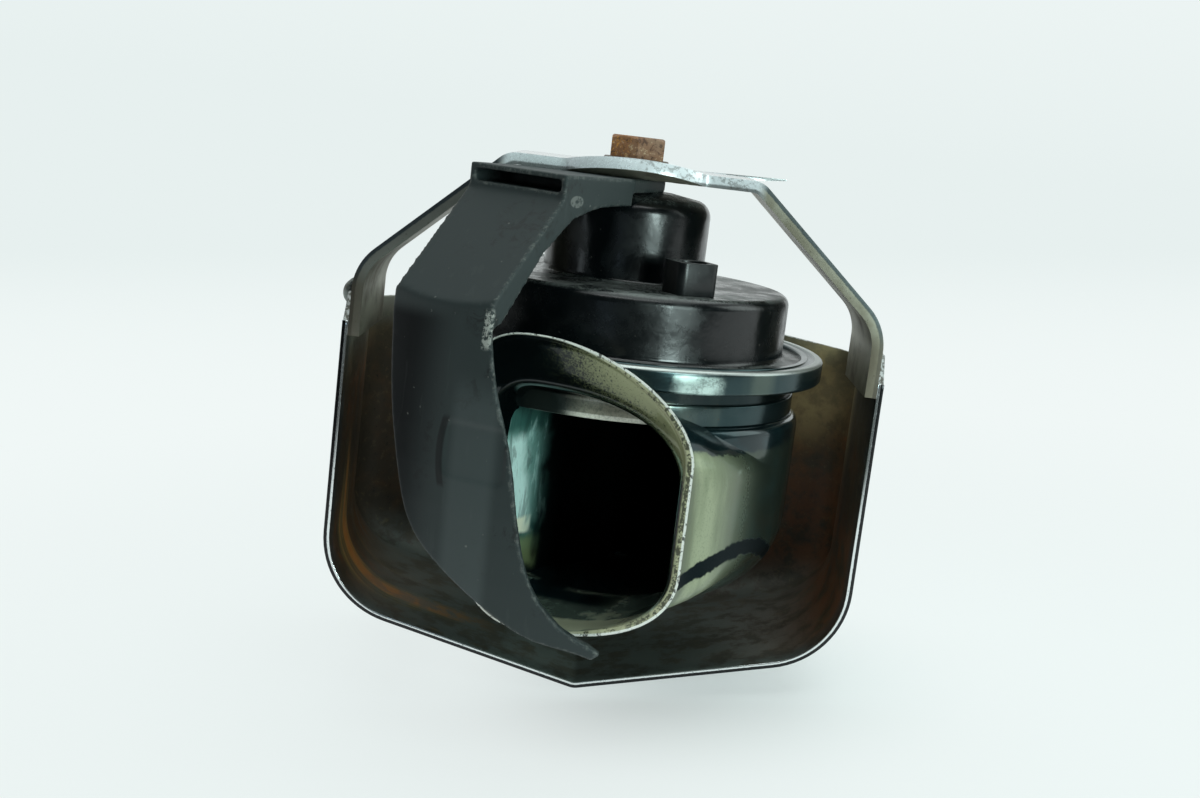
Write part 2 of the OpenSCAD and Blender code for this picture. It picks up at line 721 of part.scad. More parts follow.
// Angle tags: a foot on the block and a blade that stands up
module terminal_blades() {
    color("gold") for (x = [-1, 1])
        translate([x * terminal_pitch / 2, terminal_y, drum_z + terminal_h]) difference() {
            union() {
                translate([-blade_w / 2, -3.2, 0]) cube([blade_w, 6.4, blade_t]);
                translate([0, 3.2, 0]) rotate([90, 0, 0]) linear_extrude(blade_t)
                    polygon([[-blade_w / 2, 0], [blade_w / 2, 0], [blade_w / 2, blade_l - 1.2],
                             [blade_w / 2 - 1.2, blade_l], [1.2 - blade_w / 2, blade_l],
                             [-blade_w / 2, blade_l - 1.2]]);
            }
            translate([0, 0, -over]) cylinder(r = rivet_r, h = blade_t + 2 * over, $fn = 32);
            translate([0, over + 3.2, blade_l - 3.5]) rotate([90, 0, 0])
                cylinder(r = 0.9, h = blade_t + 2 * over, $fn = 32);
        }
}

module terminal_rivets() {
    low = chamber_z - 0.8;
    top = drum_z + terminal_h + blade_t;
    color("gold") for (x = [-1, 1]) translate([x * terminal_pitch / 2, terminal_y, 0]) {
        translate([0, 0, low]) cylinder(r = rivet_r, h = top - low, $fn = 32);
        translate([0, 0, top]) cylinder(r1 = 1.9, r2 = 1.3, h = 0.8, $fn = 32);
    }
}

// Two brass strips under the drum's top: terminal to coil, and terminal to fixed arm's side
module feed_strips() {
    color("goldenrod") for (x = [-1, 1]) difference() {
        translate([x * terminal_pitch / 2 - 1.6, terminal_y - 11, chamber_z - 0.8]) cube([3.2, 13, 0.8]);
        translate([x * terminal_pitch / 2, terminal_y, chamber_z - 0.8 - over])
            cylinder(r = rivet_r, h = 0.8 + 2 * over, $fn = 32);
    }
}

// PROJECTOR

// Plate under the diaphragm: clamped rim, groove, skirt over the scroll, and the throat
module projector_plate() {
    floor_z = lower_gasket_z - 4;
    floor_t = 1.6;
    color([0.1, 0.16, 0.16]) rotate_extrude() polygon([
        [throat_r, floor_z], [drum_r + 0.2, floor_z], [drum_r + 1.4, plate_z], [flange_r, plate_z],
        [flange_r, plate_z - plate_rim_t], [skirt_r - 1, plate_z - plate_rim_t], [skirt_r - 1, skirt_z],
        [skirt_r - 0.6, skirt_z], [skirt_r, skirt_z - 0.6], [skirt_r, scroll_z],
        [skirt_r - 2.4, scroll_z], [skirt_r - 2.4, plate_low_z], [throat_r + 2, plate_low_z],
        [throat_r + 2, scroll_z], [throat_r, scroll_z]]);
}

skirt_r = scroll_r - 2;
plate_low_z = lower_gasket_z - 5.6;
scroll_n = 44;
scroll_low_dir = -53;

// Height of the scroll's floor at its edge, in a direction counted from the mouth's right
function floor_at(a) = scroll_floor_z + scroll_lift * (1 - cos(a - scroll_low_dir)) / 2;

// A ring of the scroll's surface. f is the distance down the wall, round its edge and in to the middle
function scroll_ring(t, f, top) =
    let (r = scroll_r - t, e = scroll_edge_r - t, mid = scroll_floor_z + scroll_lift / 2 + t)
    [for (j = [0:scroll_n - 1])
        let (a = -360 * j / scroll_n, low = floor_at(a) + t,
             p = f == -3 ? [skirt_r + 0.2 - t, top]
               : f == -2 ? [r - 0.8, scroll_z - 0.8 - t / 3]
               : f == -1 ? [r - 0.15, scroll_z - 2 - t / 3]
               : f <= 1 ? [r - e * (1 - cos(90 * f)), low + e * (1 - sin(90 * f))]
               : [(r - e) * (2 - f), mid + (low - mid) * (2 - f)])
        [p[0] * cos(a), p[0] * sin(a), p[1]]];

// A closed round drum with a rounded lower edge and a sloping floor, inset by t
module scroll_drum(t, top) {
    loft([for (f = [-3, -2, -1, 0, 0.15, 0.3, 0.45, 0.6, 0.8, 1, 1.5, 1.98]) scroll_ring(t, f, top)]);
}

// Outline of the duct: an arch above and a squarer curve below, narrower on its left
function duct_outline(right, left, top, low, e, n = 48) =
    let (z1 = top - 0.35 * (top - low), z2 = low + 0.3 * (top - low), z3 = low + 0.4 * (top - low))
    [for (i = [0:n - 1])
        let (p = 360 * (i + 0.5) / n, c = cos(p), s = sin(p), w = c > 0 ? right : left,
             k = s > 0 ? (c > 0 ? e : 3) : (c > 0 ? 2.3 : 2), zs = s > 0 ? z1 : (c > 0 ? z2 : z3))
        [mouth_off + w * sign(c) * pow(abs(c), 2 / k),
         s > 0 ? zs + (top - zs) * pow(s, 2 / k) : zs - (zs - low) * pow(-s, 2 / k)]];

mouth_low_z = scroll_floor_z - 2;
mouth_top_z = flange_z + 5.8;
duct_grow = scroll_r - mouth_off - mouth_right - 0.4;
// Stations of the duct: distance back from the mouth, fall of its roof, how far its right side has
// moved outward, how far its left side has moved in, and how steep its roof is
duct = [[0, 0, 0, 0, 0], [1, 2.3, -1.1, 0.8, 1], [2, 5.1, -1.8, 1.5, 1], [3, 8, -2.1, 2.2, 1],
        [4, 10.2, -2.2, 2.9, 0.6], [5, 11, -2.1, 3.6, 0], [9, 11.6, -1, 6, 0], [17, 12.6, 0.3 * duct_grow, 8, 0],
        [29, 14.4, 0.6 * duct_grow, 8, 0], [41, 16, 0.84 * duct_grow, 8, 0], [49, 17.4, duct_grow, 8, 0]];

// A ring of the duct at one station, inset by t
function duct_ring(d, t, y) =
    [for (p = duct_outline(mouth_right + d[2] - t, mouth_left - d[3] - t,
                           mouth_top_z - d[1] - t * (1 - 0.6 * d[4]), mouth_low_z + 6 * d[0] / 49 + t,
                           1.8 + 0.1 * min(5, d[0])))
        [p[0], y, p[1]]];

// Rings of the duct, inset by t, from inside the scroll out to the mouth
function duct_rings(t) =
    let (n = len(duct) - 1)
    concat([for (i = [n:-1:0]) duct_ring(duct[i], t, -mouth_reach + duct[i][0] - 0.85 * t * duct[i][4])],
           t > 0 ? [duct_ring(duct[0], t, -mouth_reach - over)] : []);

module projector_shell() {
    color([0.16, 0.24, 0.22]) facing(mouth_az) difference() {
        union() {
            scroll_drum(0, scroll_z);
            loft(duct_rings(0));
        }
        scroll_drum(scroll_t, scroll_z + over);
        loft(duct_rings(scroll_t));
        translate([0, 0, scroll_z]) cylinder(r = skirt_r + 0.2, h = 12);
    }
}

// A point of the inner wall, in a direction counted from the mouth's right
function wall_at(a) =
    let (r = 12.5 + (scroll_r - scroll_t - 13) * exp(-pow(max(0, tongue_dir - a) / 7.5, 0.75)))
    [r * cos(a), -r * sin(a)];

tongue_dir = 101.5;
wall_n = 34;

// Inner wall that winds from the throat out to the left side of the mouth
module scroll_wall() {
    t = 1.2;
    turns = [for (i = [0:wall_n]) wall_at(tongue_dir - 300 * pow(i / wall_n, 2.2))];
    // second side of the wall, set off square to the first
    back = [for (i = [wall_n:-1:0])
        let (a = turns[max(0, i - 1)], b = turns[min(wall_n, i + 1)], d = (b - a) / norm(b - a))
        turns[i] + t * [-d[1], d[0]]];
    color([0.12, 0.18, 0.17]) facing(mouth_az) intersection() {
        translate([0, 0, scroll_floor_z - over]) linear_extrude(plate_low_z - scroll_floor_z + over)
            polygon(concat(turns, back));
        union() {
            scroll_drum(scroll_t + 0.1, scroll_z);
            translate([0, 0, scroll_z - over]) cylinder(r = skirt_r - 2.5, h = plate_low_z - scroll_z + over);
        }
    }
}

cover_shell();
strap();
weld_beads();
mounting_bolt();
flat_washer();
shroud();
motor_housing();
crimp_ring();
core();
bobbin();
coil();
armature();
armature_stem();
stem_nut();
diaphragm();
gasket(gasket_z);  // gasket_upper
gasket(lower_gasket_z);  // gasket_lower
projector_plate();
projector_shell();
scroll_wall();
terminal_block();
terminal_blades();
terminal_rivets();
breaker_stack();
spring_root();
moving_spring();
moving_point();
fixed_arm();
fixed_point();
breaker_rivets();
adjuster_boss();
adjusting_screw();
feed_strips();
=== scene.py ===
"""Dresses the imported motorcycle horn: its pressed cover, strap, shroud, motor and projector.

Sizes are in millimetres in the classes and become metres when a mesh is made. The frame's origin is
on the mounting bolt's axis, on the strap's top face. +Z is up and -Y faces out of the open back.
"""

from __future__ import annotations

import json
import logging
import math
from collections.abc import Iterator, Sequence
from contextlib import contextmanager
from dataclasses import dataclass, field
from enum import Enum

import bpy
import numpy as np
from mathutils import Matrix, Vector

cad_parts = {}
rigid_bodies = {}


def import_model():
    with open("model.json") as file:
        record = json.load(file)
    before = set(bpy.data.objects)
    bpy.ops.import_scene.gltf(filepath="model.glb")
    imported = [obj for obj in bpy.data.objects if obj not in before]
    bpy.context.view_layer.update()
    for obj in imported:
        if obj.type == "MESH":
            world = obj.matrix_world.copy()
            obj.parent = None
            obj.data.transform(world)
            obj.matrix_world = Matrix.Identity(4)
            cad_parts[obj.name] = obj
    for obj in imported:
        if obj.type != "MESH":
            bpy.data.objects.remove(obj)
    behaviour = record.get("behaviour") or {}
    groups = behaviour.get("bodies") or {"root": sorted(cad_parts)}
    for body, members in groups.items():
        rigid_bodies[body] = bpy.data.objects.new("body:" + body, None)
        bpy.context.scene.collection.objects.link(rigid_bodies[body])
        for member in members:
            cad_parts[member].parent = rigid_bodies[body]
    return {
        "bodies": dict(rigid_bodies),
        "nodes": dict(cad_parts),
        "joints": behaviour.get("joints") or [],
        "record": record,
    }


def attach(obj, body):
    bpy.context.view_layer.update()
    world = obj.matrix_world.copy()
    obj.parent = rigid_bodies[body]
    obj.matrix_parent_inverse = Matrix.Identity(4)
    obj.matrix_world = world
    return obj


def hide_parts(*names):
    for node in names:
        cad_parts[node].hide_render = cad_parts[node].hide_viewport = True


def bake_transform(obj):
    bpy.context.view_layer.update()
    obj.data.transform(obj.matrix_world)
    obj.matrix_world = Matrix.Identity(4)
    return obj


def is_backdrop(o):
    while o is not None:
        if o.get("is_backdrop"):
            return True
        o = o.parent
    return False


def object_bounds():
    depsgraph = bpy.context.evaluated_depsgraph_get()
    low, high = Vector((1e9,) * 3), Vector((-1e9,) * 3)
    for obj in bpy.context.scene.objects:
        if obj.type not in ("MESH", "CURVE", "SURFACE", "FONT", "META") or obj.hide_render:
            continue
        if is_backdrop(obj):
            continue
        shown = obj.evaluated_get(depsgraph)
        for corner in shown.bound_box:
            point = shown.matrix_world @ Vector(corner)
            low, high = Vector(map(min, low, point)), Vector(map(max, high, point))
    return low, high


LOG = logging.getLogger("horn")
MM = 0.001
FULL_TURN = 2 * math.pi
Point = tuple[float, float, float]
Flat = tuple[float, float]
Colour = tuple[float, float, float, float]


class Body(Enum):
    """The CAD bodies that pieces ride on."""

    COVER = "cover"
    HORN = "horn"
    ARMATURE = "armature"
    BREAKER = "breaker"
    ADJUSTER = "adjuster"


# SHADER MATHS


def tone(code: str) -> Colour:
    """Turns a colour as it is seen, written #rrggbb, into linear light.

    Args:
        code: the colour.

    Returns:
        Red, green, blue and an alpha of 1.
    """
    parts = [int(code[i : i + 2], 16) / 255 for i in (1, 3, 5)]
    lit = [p / 12.92 if p <= 0.04045 else ((p + 0.055) / 1.055) ** 2.4 for p in parts]
    return (lit[0], lit[1], lit[2], 1.0)


class Signal:
    """A value that runs through a material's nodes, with Python's operators as Math nodes."""

    def __init__(self, graph: Graph, socket: bpy.types.NodeSocket) -> None:
        """Wraps one output socket of a graph."""
        self.graph = graph
        self.socket = socket

    def _with(self, operation: str, other: Signal | float, swap: bool = False) -> Signal:
        """Joins this value and another one in a Math node."""
        first, second = (other, self) if swap else (self, other)
        return self.graph.node("ShaderNodeMath", {"operation": operation}, {0: first, 1: second})

    def __add__(self, other: Signal | float) -> Signal:
        """Adds."""
        return self._with("ADD", other)

    __radd__ = __add__

    def __mul__(self, other: Signal | float) -> Signal:
        """Multiplies."""
        return self._with("MULTIPLY", other)

    __rmul__ = __mul__

    def __sub__(self, other: Signal | float) -> Signal:
        """Subtracts."""
        return self._with("SUBTRACT", other)

    def __rsub__(self, other: float) -> Signal:
        """Subtracts this value from a number."""
        return self._with("SUBTRACT", other, swap=True)

    def __pow__(self, other: float) -> Signal:
        """Raises to a power."""
        return self._with("POWER", other)

    def top(self, other: Signal | float) -> Signal:
        """The larger of two values."""
        return self._with("MAXIMUM", other)

    def low(self, other: Signal | float) -> Signal:
        """The smaller of two values."""
        return self._with("MINIMUM", other)

    def squared(self) -> Signal:
        """The value times itself."""
        return self * self

    def sine(self) -> Signal:
        """The value's sine."""
        return self.graph.node("ShaderNodeMath", {"operation": "SINE"}, {0: self})

    def step(self, start: float, end: float) -> Signal:
        """Goes smoothly from 0 at start to 1 at end.

        Args:
            start: the value that gives 0.
            end: the value that gives 1. It may lie below start.

        Returns:
            The mask.
        """
        if end < start:
            return 1.0 - self.step(end, start)
        return self.graph.node(
            "ShaderNodeMapRange",
            {"interpolation_type": "SMOOTHSTEP"},
            {"Value": self, "From Min": start, "From Max": end, "To Min": 0.0, "To Max": 1.0},
        )

    def band(self, start: float, end: float, edge: float) -> Signal:
        """A mask that is 1 between two values and fades over edge beyond each."""
        return self.step(start - edge, start) * self.step(end + edge, end)


class Graph:
    """The node tree of one material or world."""

    def __init__(self, owner: bpy.types.Material | bpy.types.World) -> None:
        """Empties the owner's tree."""
        self.owner = owner
        owner.use_nodes = True
        self.tree = owner.node_tree
        self.tree.nodes.clear()
        self._mm: Signal | None = None

    def node(
        self, kind: str, settings: dict | None = None, inputs: dict | None = None, output: int | str = 0
    ) -> Signal:
        """Adds a node.

        Args:
            kind: the node's type.
            settings: its own settings, and a ramp's stops as (place, colour) pairs.
            inputs: values or signals of its sockets, by name or number.
            output: which output comes back.

        Returns:
            That output.
        """
        made = self.tree.nodes.new(kind)
        for key, value in (settings or {}).items():
            if key == "stops":
                ramp = made.color_ramp
                while len(ramp.elements) < len(value):
                    ramp.elements.new(0.5)
                for element, (place, colour) in zip(ramp.elements, value):
                    element.position, element.color = place, colour
            else:
                setattr(made, key, value)
        for key, value in (inputs or {}).items():
            if isinstance(value, Signal):
                self.tree.links.new(value.socket, made.inputs[key])
            else:
                made.inputs[key].default_value = value
        return Signal(self, made.outputs[output] if made.outputs else None)

    @property
    def mm(self) -> Signal:
        """The place on the object, in millimetres."""
        if self._mm is None:
            place = self.node("ShaderNodeTexCoord", output="Object")
            self._mm = self.node("ShaderNodeMapping", inputs={"Vector": place, "Scale": (1000.0,) * 3})
        return self._mm

    def axes(self, turned: float = 0.0) -> tuple[Signal, Signal, Signal]:
        """X, Y and Z in millimetres, in a frame turned about Z so that its -Y points left of the back.

        Args:
            turned: the direction in degrees, to the left.

        Returns:
            The three signals.
        """
        place = self.mm
        if turned:
            place = self.node(
                "ShaderNodeMapping", inputs={"Vector": place, "Rotation": (0.0, 0.0, math.radians(turned))}
            )
        made = [self.node("ShaderNodeSeparateXYZ", inputs={0: place}, output=i) for i in range(3)]
        return made[0], made[1], made[2]

    def noise(
        self,
        size: float,
        detail: float = 4.0,
        rough: float = 0.55,
        drawn: Point = (1.0, 1.0, 1.0),
        twist: float = 0.0,
    ) -> Signal:
        """Noise of a size.

        Args:
            size: how wide its spots are, in millimetres.
            detail: how many finer layers it has.
            rough: how strong the finer layers are.
            drawn: how often it repeats along X, Y and Z. A small number draws it out that way.
            twist: how much it is distorted.

        Returns:
            Values about 0.5.
        """
        place = self.mm
        if drawn != (1.0, 1.0, 1.0):
            place = self.node("ShaderNodeMapping", inputs={"Vector": place, "Scale": drawn})
        inputs = {"Scale": 1.0 / size, "Detail": detail, "Roughness": rough, "Distortion": twist}
        return self.node("ShaderNodeTexNoise", inputs={"Vector": place, **inputs})

    def cells(self, size: float) -> Signal:
        """Distance to scattered points about size millimetres apart, in units of size."""
        return self.node("ShaderNodeTexVoronoi", inputs={"Vector": self.mm, "Scale": 1.0 / size})

    def attribute(self, name: str) -> Signal:
        """A value stored on the piece's points."""
        return self.node("ShaderNodeAttribute", {"attribute_name": name}, output="Fac")

    def layers(self, ground: str, *over: tuple[Signal, str]) -> Signal:
        """Lays colours over a ground, each through its own mask.

        Args:
            ground: the colour under all, written #rrggbb as it is seen.
            over: pairs of a mask and a colour, the lowest first.

        Returns:
            The colour.
        """
        made = tone(ground)
        for share, colour in over:
            inputs = {0: share, 6: made, 7: tone(colour)}
            made = self.node("ShaderNodeMix", {"data_type": "RGBA"}, inputs, output=2)
        return made

    def bump(self, height: Signal, depth: float, strength: float = 1.0) -> Signal:
        """A normal from a height of 0 to 1 that stands for depth millimetres."""
        inputs = {"Height": height, "Strength": strength, "Distance": depth * MM}
        return self.node("ShaderNodeBump", inputs=inputs)

    @property
    def seen(self) -> Signal:
        """1 for what the camera sees directly, 0 for light and reflections."""
        return self.node("ShaderNodeLightPath", output="Is Camera Ray")

    def shade(self, inputs: dict) -> bpy.types.Material:
        """Ends the material in one Principled shader.

        Args:
            inputs: values or signals of the shader's sockets.

        Returns:
            The material.
        """
        shader = self.node("ShaderNodeBsdfPrincipled", inputs=inputs)
        self.node("ShaderNodeOutputMaterial", inputs={"Surface": shader})
        return self.owner


# FINISHES


@dataclass(frozen=True)
class Finish:
    """A finish that pieces are dressed in."""

    name: str

    def paint(self, g: Graph) -> dict:
        """The inputs of the finish's shader."""
        raise NotImplementedError

    def material(self) -> bpy.types.Material:
        """The finish as a material, made once."""
        found = bpy.data.materials.get(self.name)
        if found is not None:
            return found
        g = Graph(bpy.data.materials.new(self.name))
        return g.shade(self.paint(g))


@dataclass(frozen=True)
class Chrome(Finish):
    """Bright plating with fine pits and a haze of grime."""

    haze: float = 0.12
    pitted: float = 0.5
    grime: str = "#4a4238"

    def paint(self, g: Graph) -> dict:
        """Mixes plating, haze and pits."""
        cloud = g.noise(16, 5)
        fine = g.noise(1.2, 3, 0.7)
        pits = g.cells(2.6).step(0.16, 0.05) * g.noise(9, 3).step(0.5, 0.62) * self.pitted
        stain = cloud.step(0.58, 0.78) * fine.step(0.4, 0.7) * 0.5
        colour = g.layers("#dfe3e4", (stain, self.grime), (pits, "#231c16"))
        return {
            "Base Color": colour,
            "Metallic": 1.0 - pits * 0.8,
            "Roughness": cloud.step(0.3, 0.8) * self.haze + pits * 0.5 + 0.06 + fine * 0.05,
            "Normal": g.bump(fine * 0.3 - pits, 0.06, 0.35),
        }


@dataclass(frozen=True)
class StainedInside(Finish):
    """The cover's inner face: plating gone brown with rust, soot and old grease, with a painted light patch
    at the upper right and a painted reflection at the top left.
    """

    def paint(self, g: Graph) -> dict:
        """Lays rust, streaks and soot over dull plating, and paints in a light patch and a reflection."""
        x, y, z = g.axes()
        broad = g.noise(34, 6, 0.6, twist=0.4)
        mottle = g.noise(7, 6, 0.68)
        grit = g.noise(0.9, 4, 0.7)
        drawn = g.noise(9, 5, 0.6, drawn=(0.06, 0.9, 0.06), twist=0.3)
        left_low = x.step(-18, -46) * z.step(-70, -104) * y.step(26, -2)
        near = y.step(-9, -15)
        high = z.step(-66, -50)
        right = x.step(20, 55)
        rust = broad.step(0.42, 0.66) * mottle.step(0.36, 0.62)
        streaks = drawn.step(0.5, 0.66) * left_low
        # painted light: a tan patch where light falls on the upper right of the inner wall
        tan = ((x - 58.0).squared() + (z + 59.0).squared() * 0.6) ** 0.5
        # painted reflection: the top left of the inner wall is lightened to pale grey as if mirroring the
        # bright outside
        fade = x.step(-30, -50) * z.step(-57, -41)
        fleck = g.noise(2.2, 5, 0.75)
        colour = g.layers(
            "#3a352a",
            (broad.step(0.3, 0.62) * 0.9, "#4d402c"),
            (rust * 0.85, "#6b4a2c"),
            (mottle.step(0.56, 0.7) * broad.step(0.48, 0.66) * 0.7, "#8a5329"),
            (fleck.step(0.55, 0.66) * 0.5, "#6d6244"),
            (fleck.step(0.42, 0.32) * 0.6, "#14130f"),
            (streaks * 0.85, "#b3a160"),
            (drawn.step(0.56, 0.66) * left_low * 0.75, "#d07b36"),
            (high * broad.step(0.3, 0.6) * 0.7, "#77725a"),
            (high * right * 0.7, "#34352e"),
            # painted light patch on the upper right
            (tan.step(17, 3) * y.step(10, 30) * (0.5 + mottle.step(0.4, 0.6) * 0.5), "#a8966a"),
            # painted reflection on the top left
            (fade * 0.9, "#c2c6b8"),
            (x.step(15, 45) * z.step(-72, -92) * mottle.step(0.38, 0.58) * 0.7, "#70482c"),
            (near * mottle.step(0.3, 0.6) * 0.8, "#474e4e"),
            (z.step(-106, -124) * (0.35 + mottle.step(0.4, 0.55) * 0.6), "#6b746f"),
            (grit.step(0.68, 0.78) * 0.5, "#8b7b63"),
        )
        return {
            "Base Color": colour,
            "Metallic": 0.15 + near * 0.35 + high * 0.25,
            "Roughness": 0.42 + mottle * 0.3 + rust * 0.12,
            "Normal": g.bump(mottle * 0.5 + grit * 0.5, 0.14, 0.6),
        }


@dataclass(frozen=True)
class RimPlating(Finish):
    """The cover's cut edge: painted dark along its outer half, a painted reflection of the dark surroundings
    that it mirrors, and bright along its inner one.
    """

    def paint(self, g: Graph) -> dict:
        """Draws the painted dark line and the bright one and breaks them with nicks."""
        rim = g.attribute("rim")
        fine = g.noise(0.9, 4, 0.7)
        nicks = fine.step(0.6, 0.65) * g.noise(12, 3).step(0.46, 0.54)
        # painted reflection: the outer half of the edge is painted near black for the dark surroundings that
        # it mirrors
        outer = (rim + fine * 0.3).step(1.1, 0.95) * rim.step(30, 20)
        upper = rim.step(20, 30)
        colour = g.layers(
            "#e9eeee",
            (outer, "#101315"),
            (upper * (0.5 + fine.step(0.4, 0.6) * 0.5), "#55534b"),
            (nicks * 0.7, "#1b1a18"),
        )
        return {
            "Base Color": colour,
            "Metallic": 0.9 - nicks * 0.5 - outer * 0.6 - upper * 0.3,
            "Roughness": 0.1 + nicks * 0.4 + outer * 0.1 + upper * 0.35,
            "Normal": g.bump(nicks, 0.06, -0.4),
        }


@dataclass(frozen=True)
class StrapEdge(Finish):
    """The strap's cut edge: a painted highlight along the pad with painted shadow along its lower part,
    brownish grey on the legs.
    """

    def paint(self, g: Graph) -> dict:
        """Draws the pad's painted highlight and painted shadow, the dark outer corner of the legs and the
        worn speckles.
        """
        x, y, z = g.axes()
        depth = g.attribute("depth")
        cloud = g.noise(9, 5, 0.6)
        fine = g.noise(0.8, 4, 0.7)
        worn = g.noise(1.3, 5, 0.75)
        # the pad's edge, which gets a near-white painted highlight
        middle = x.band(-30, 29, 3).top(y.step(5, 9) * x.step(10, 14))
        outer = (depth + fine * 0.5).step(1.35, 1.0)
        # painted shadow: the lower part of the pad's edge
        under = (depth + fine * 0.4).step(1.9, 2.4)
        speckled = worn.step(0.5, 0.58) * x.band(3, 27, 4)
        foot = z.step(-30, -37)
        colour = g.layers(
            "#a3a291",
            (cloud.step(0.4, 0.65) * 0.7, "#7f7a67"),
            (x.step(-20, -40) * 0.7, "#767f7c"),
            (outer * 0.85, "#35424a"),
            # painted highlight on the pad's edge
            (middle, "#f1f8fb"),
            # painted shadow along the lower part of the pad's edge
            (middle * under * 0.8, "#4c4e4c"),
            (speckled * 0.55, "#4d4a43"),
            (fine.step(0.62, 0.68) * 0.5, "#2c2924"),
            (foot * 0.7, "#5d5444"),
        )
        return {
            "Base Color": colour,
            "Metallic": 0.45 - middle * 0.25 + outer * (1.0 - middle) * 0.2,
            "Roughness": 0.42 - middle * 0.2 + worn.step(0.4, 0.7) * 0.15,
            "Normal": g.bump(worn * 0.5 + fine * 0.5, 0.07, 0.4),
        }


@dataclass(frozen=True)
class DullSteel(Finish):
    """Steel whose plating has clouded to brownish grey."""

    ground: str = "#8b8880"
    shine: float = 0.85

    def paint(self, g: Graph) -> dict:
        """Clouds a grey metal with brown and dark specks."""
        cloud = g.noise(11, 6, 0.6)
        fine = g.noise(1.1, 4, 0.7)
        specks = fine.step(0.62, 0.7)
        colour = g.layers(
            self.ground,
            (cloud.step(0.4, 0.66) * 0.75, "#5c5345"),
            (cloud.step(0.6, 0.74) * 0.6, "#4b3520"),
            (specks * 0.6, "#1f1a16"),
        )
        return {
            "Base Color": colour,
            "Metallic": self.shine - specks * 0.5,
            "Roughness": 0.3 + cloud * 0.3,
            "Normal": g.bump(fine, 0.08, 0.4),
        }


@dataclass(frozen=True)
class Rust(Finish):
    """A bolt's rust, orange brown with dark scale."""

    def paint(self, g: Graph) -> dict:
        """Mixes scale, orange bloom and worn grey."""
        broad = g.noise(4.5, 6, 0.65)
        fine = g.noise(0.7, 5, 0.7)
        scale = g.noise(1.8, 5, 0.7, twist=0.6)
        x, _, _ = g.axes()
        left = x.step(1.5, -3.5)
        colour = g.layers(
            "#866a55",
            (left * 0.6, "#9a6438"),
            (broad.step(0.42, 0.64) * 0.6, "#80573a"),
            (scale.step(0.52, 0.62) * 0.8, "#3f2a20"),
            (fine.step(0.52, 0.62) * left * 0.8, "#c98a3c"),
            (scale.step(0.46, 0.38) * fine.step(0.45, 0.6) * 0.8, "#c4b291"),
        )
        return {
            "Base Color": colour,
            "Metallic": 0.1,
            "Roughness": 0.82 - scale.step(0.6, 0.8) * 0.15,
            "Normal": g.bump(scale * 0.6 + fine * 0.4, 0.22, 0.8),
        }


@dataclass(frozen=True)
class Weld(Finish):
    """A weld bead gone dark, with rust in its ripples."""

    def paint(self, g: Graph) -> dict:
        """Mixes dark slag, steel and rust."""
        broad = g.noise(3.2, 5, 0.6)
        fine = g.noise(0.6, 4, 0.7)
        colour = g.layers(
            "#5d625e",
            (broad.step(0.45, 0.62), "#8d9490"),
            (fine.step(0.57, 0.68) * 0.8, "#6b5234"),
            (broad.step(0.42, 0.3) * 0.9, "#14181b"),
            (fine.step(0.42, 0.3) * 0.6, "#1d1c1a"),
        )
        return {
            "Base Color": colour,
            "Metallic": 0.6,
            "Roughness": 0.38 + broad * 0.3,
            "Normal": g.bump(fine * 0.4 + broad * 0.6, 0.7, 0.8),
        }


@dataclass(frozen=True)
class Moulding(Finish):
    """Matte dark moulded plastic with scuffed pale edges, painted shade down its left side and in its recess,
    and a painted sheen on the shield.
    """

    ground: str = "#293232"

    def paint(self, g: Graph) -> dict:
        """Lays dust, scuffs, worn edges, painted shade and a painted sheen over the moulding's grain."""
        x, y, z = g.axes()
        grain = g.noise(0.35, 3, 0.6)
        cloud = g.noise(15, 6, 0.62)
        edge = g.attribute("edge")
        chips = g.noise(1.1, 5, 0.75)
        worn = edge.step(0.45, 0.95) * chips.step(0.46, 0.66)
        scratch = g.noise(2.4, 3, 0.5, drawn=(0.9, 0.9, 0.12), twist=0.5).step(0.63, 0.67)
        smudge = cloud.step(0.5, 0.62) * g.noise(3.4, 6, 0.75, twist=0.8).step(0.5, 0.6)
        specks = g.cells(4.2).step(0.09, 0.04) * chips.step(0.46, 0.6)
        # painted shade: the shield's left side, turned away from the light, is painted near black and more
        # metallic
        aside = (x - (z + 85.0) * 0.03).step(-34, -46) * z.step(-33, -37)
        # painted shade: a dark line along the left end of the shallow recess
        recess_shade = (x + 34.6 - (z + 64.0).squared() * 0.016).band(-0.9, 0.1, 0.5)
        recess_shade = recess_shade * z.band(-71, -57, 1.5) * y.step(-55, -57)
        rubbed = (x - z * 0.05).band(-25.9, -24.3, 0.4) * z.band(-39.5, -33.0, 1.5) * y.step(-62.5, -63.2)
        ring = ((x + 12.0).squared() + (z + 8.6).squared()) ** 0.5
        ring = ring.band(0.5, 1.2, 0.25) * y.band(-45, -40, 0.5)
        colour = g.layers(
            self.ground,
            (cloud.step(0.35, 0.7) * 0.5, "#2e3636"),
            (smudge * 0.7, "#151919"),
            # painted shade down the left side
            (aside, "#0a0f11"),
            # painted sheen: the right part of the shield, where light falls, is painted lighter
            (x.band(-31, -24, 3.0) * y.step(-55, -58) * z.step(-45, -55) * 0.5, "#4b5454"),
            (scratch * 0.05, "#5d6260"),
            (specks * 0.5, "#8d8f89"),
            # painted shade in the recess
            (recess_shade * 0.85, "#0b0f10"),
            (worn * 0.4, "#7c7f7a"),
            (rubbed * chips.step(0.44, 0.54) * 0.8, "#a9aca5"),
            (ring * chips.step(0.38, 0.52) * 0.4, "#8d908b"),
        )
        return {
            "Base Color": colour,
            "Metallic": aside * 0.7,
            "Roughness": 0.5 + cloud * 0.16 + worn * 0.2 - smudge * 0.08,
            "Normal": g.bump(grain * 0.5 + chips * 0.5 - specks * 0.5, 0.05, 0.6),
            "Specular IOR Level": 0.3,
        }


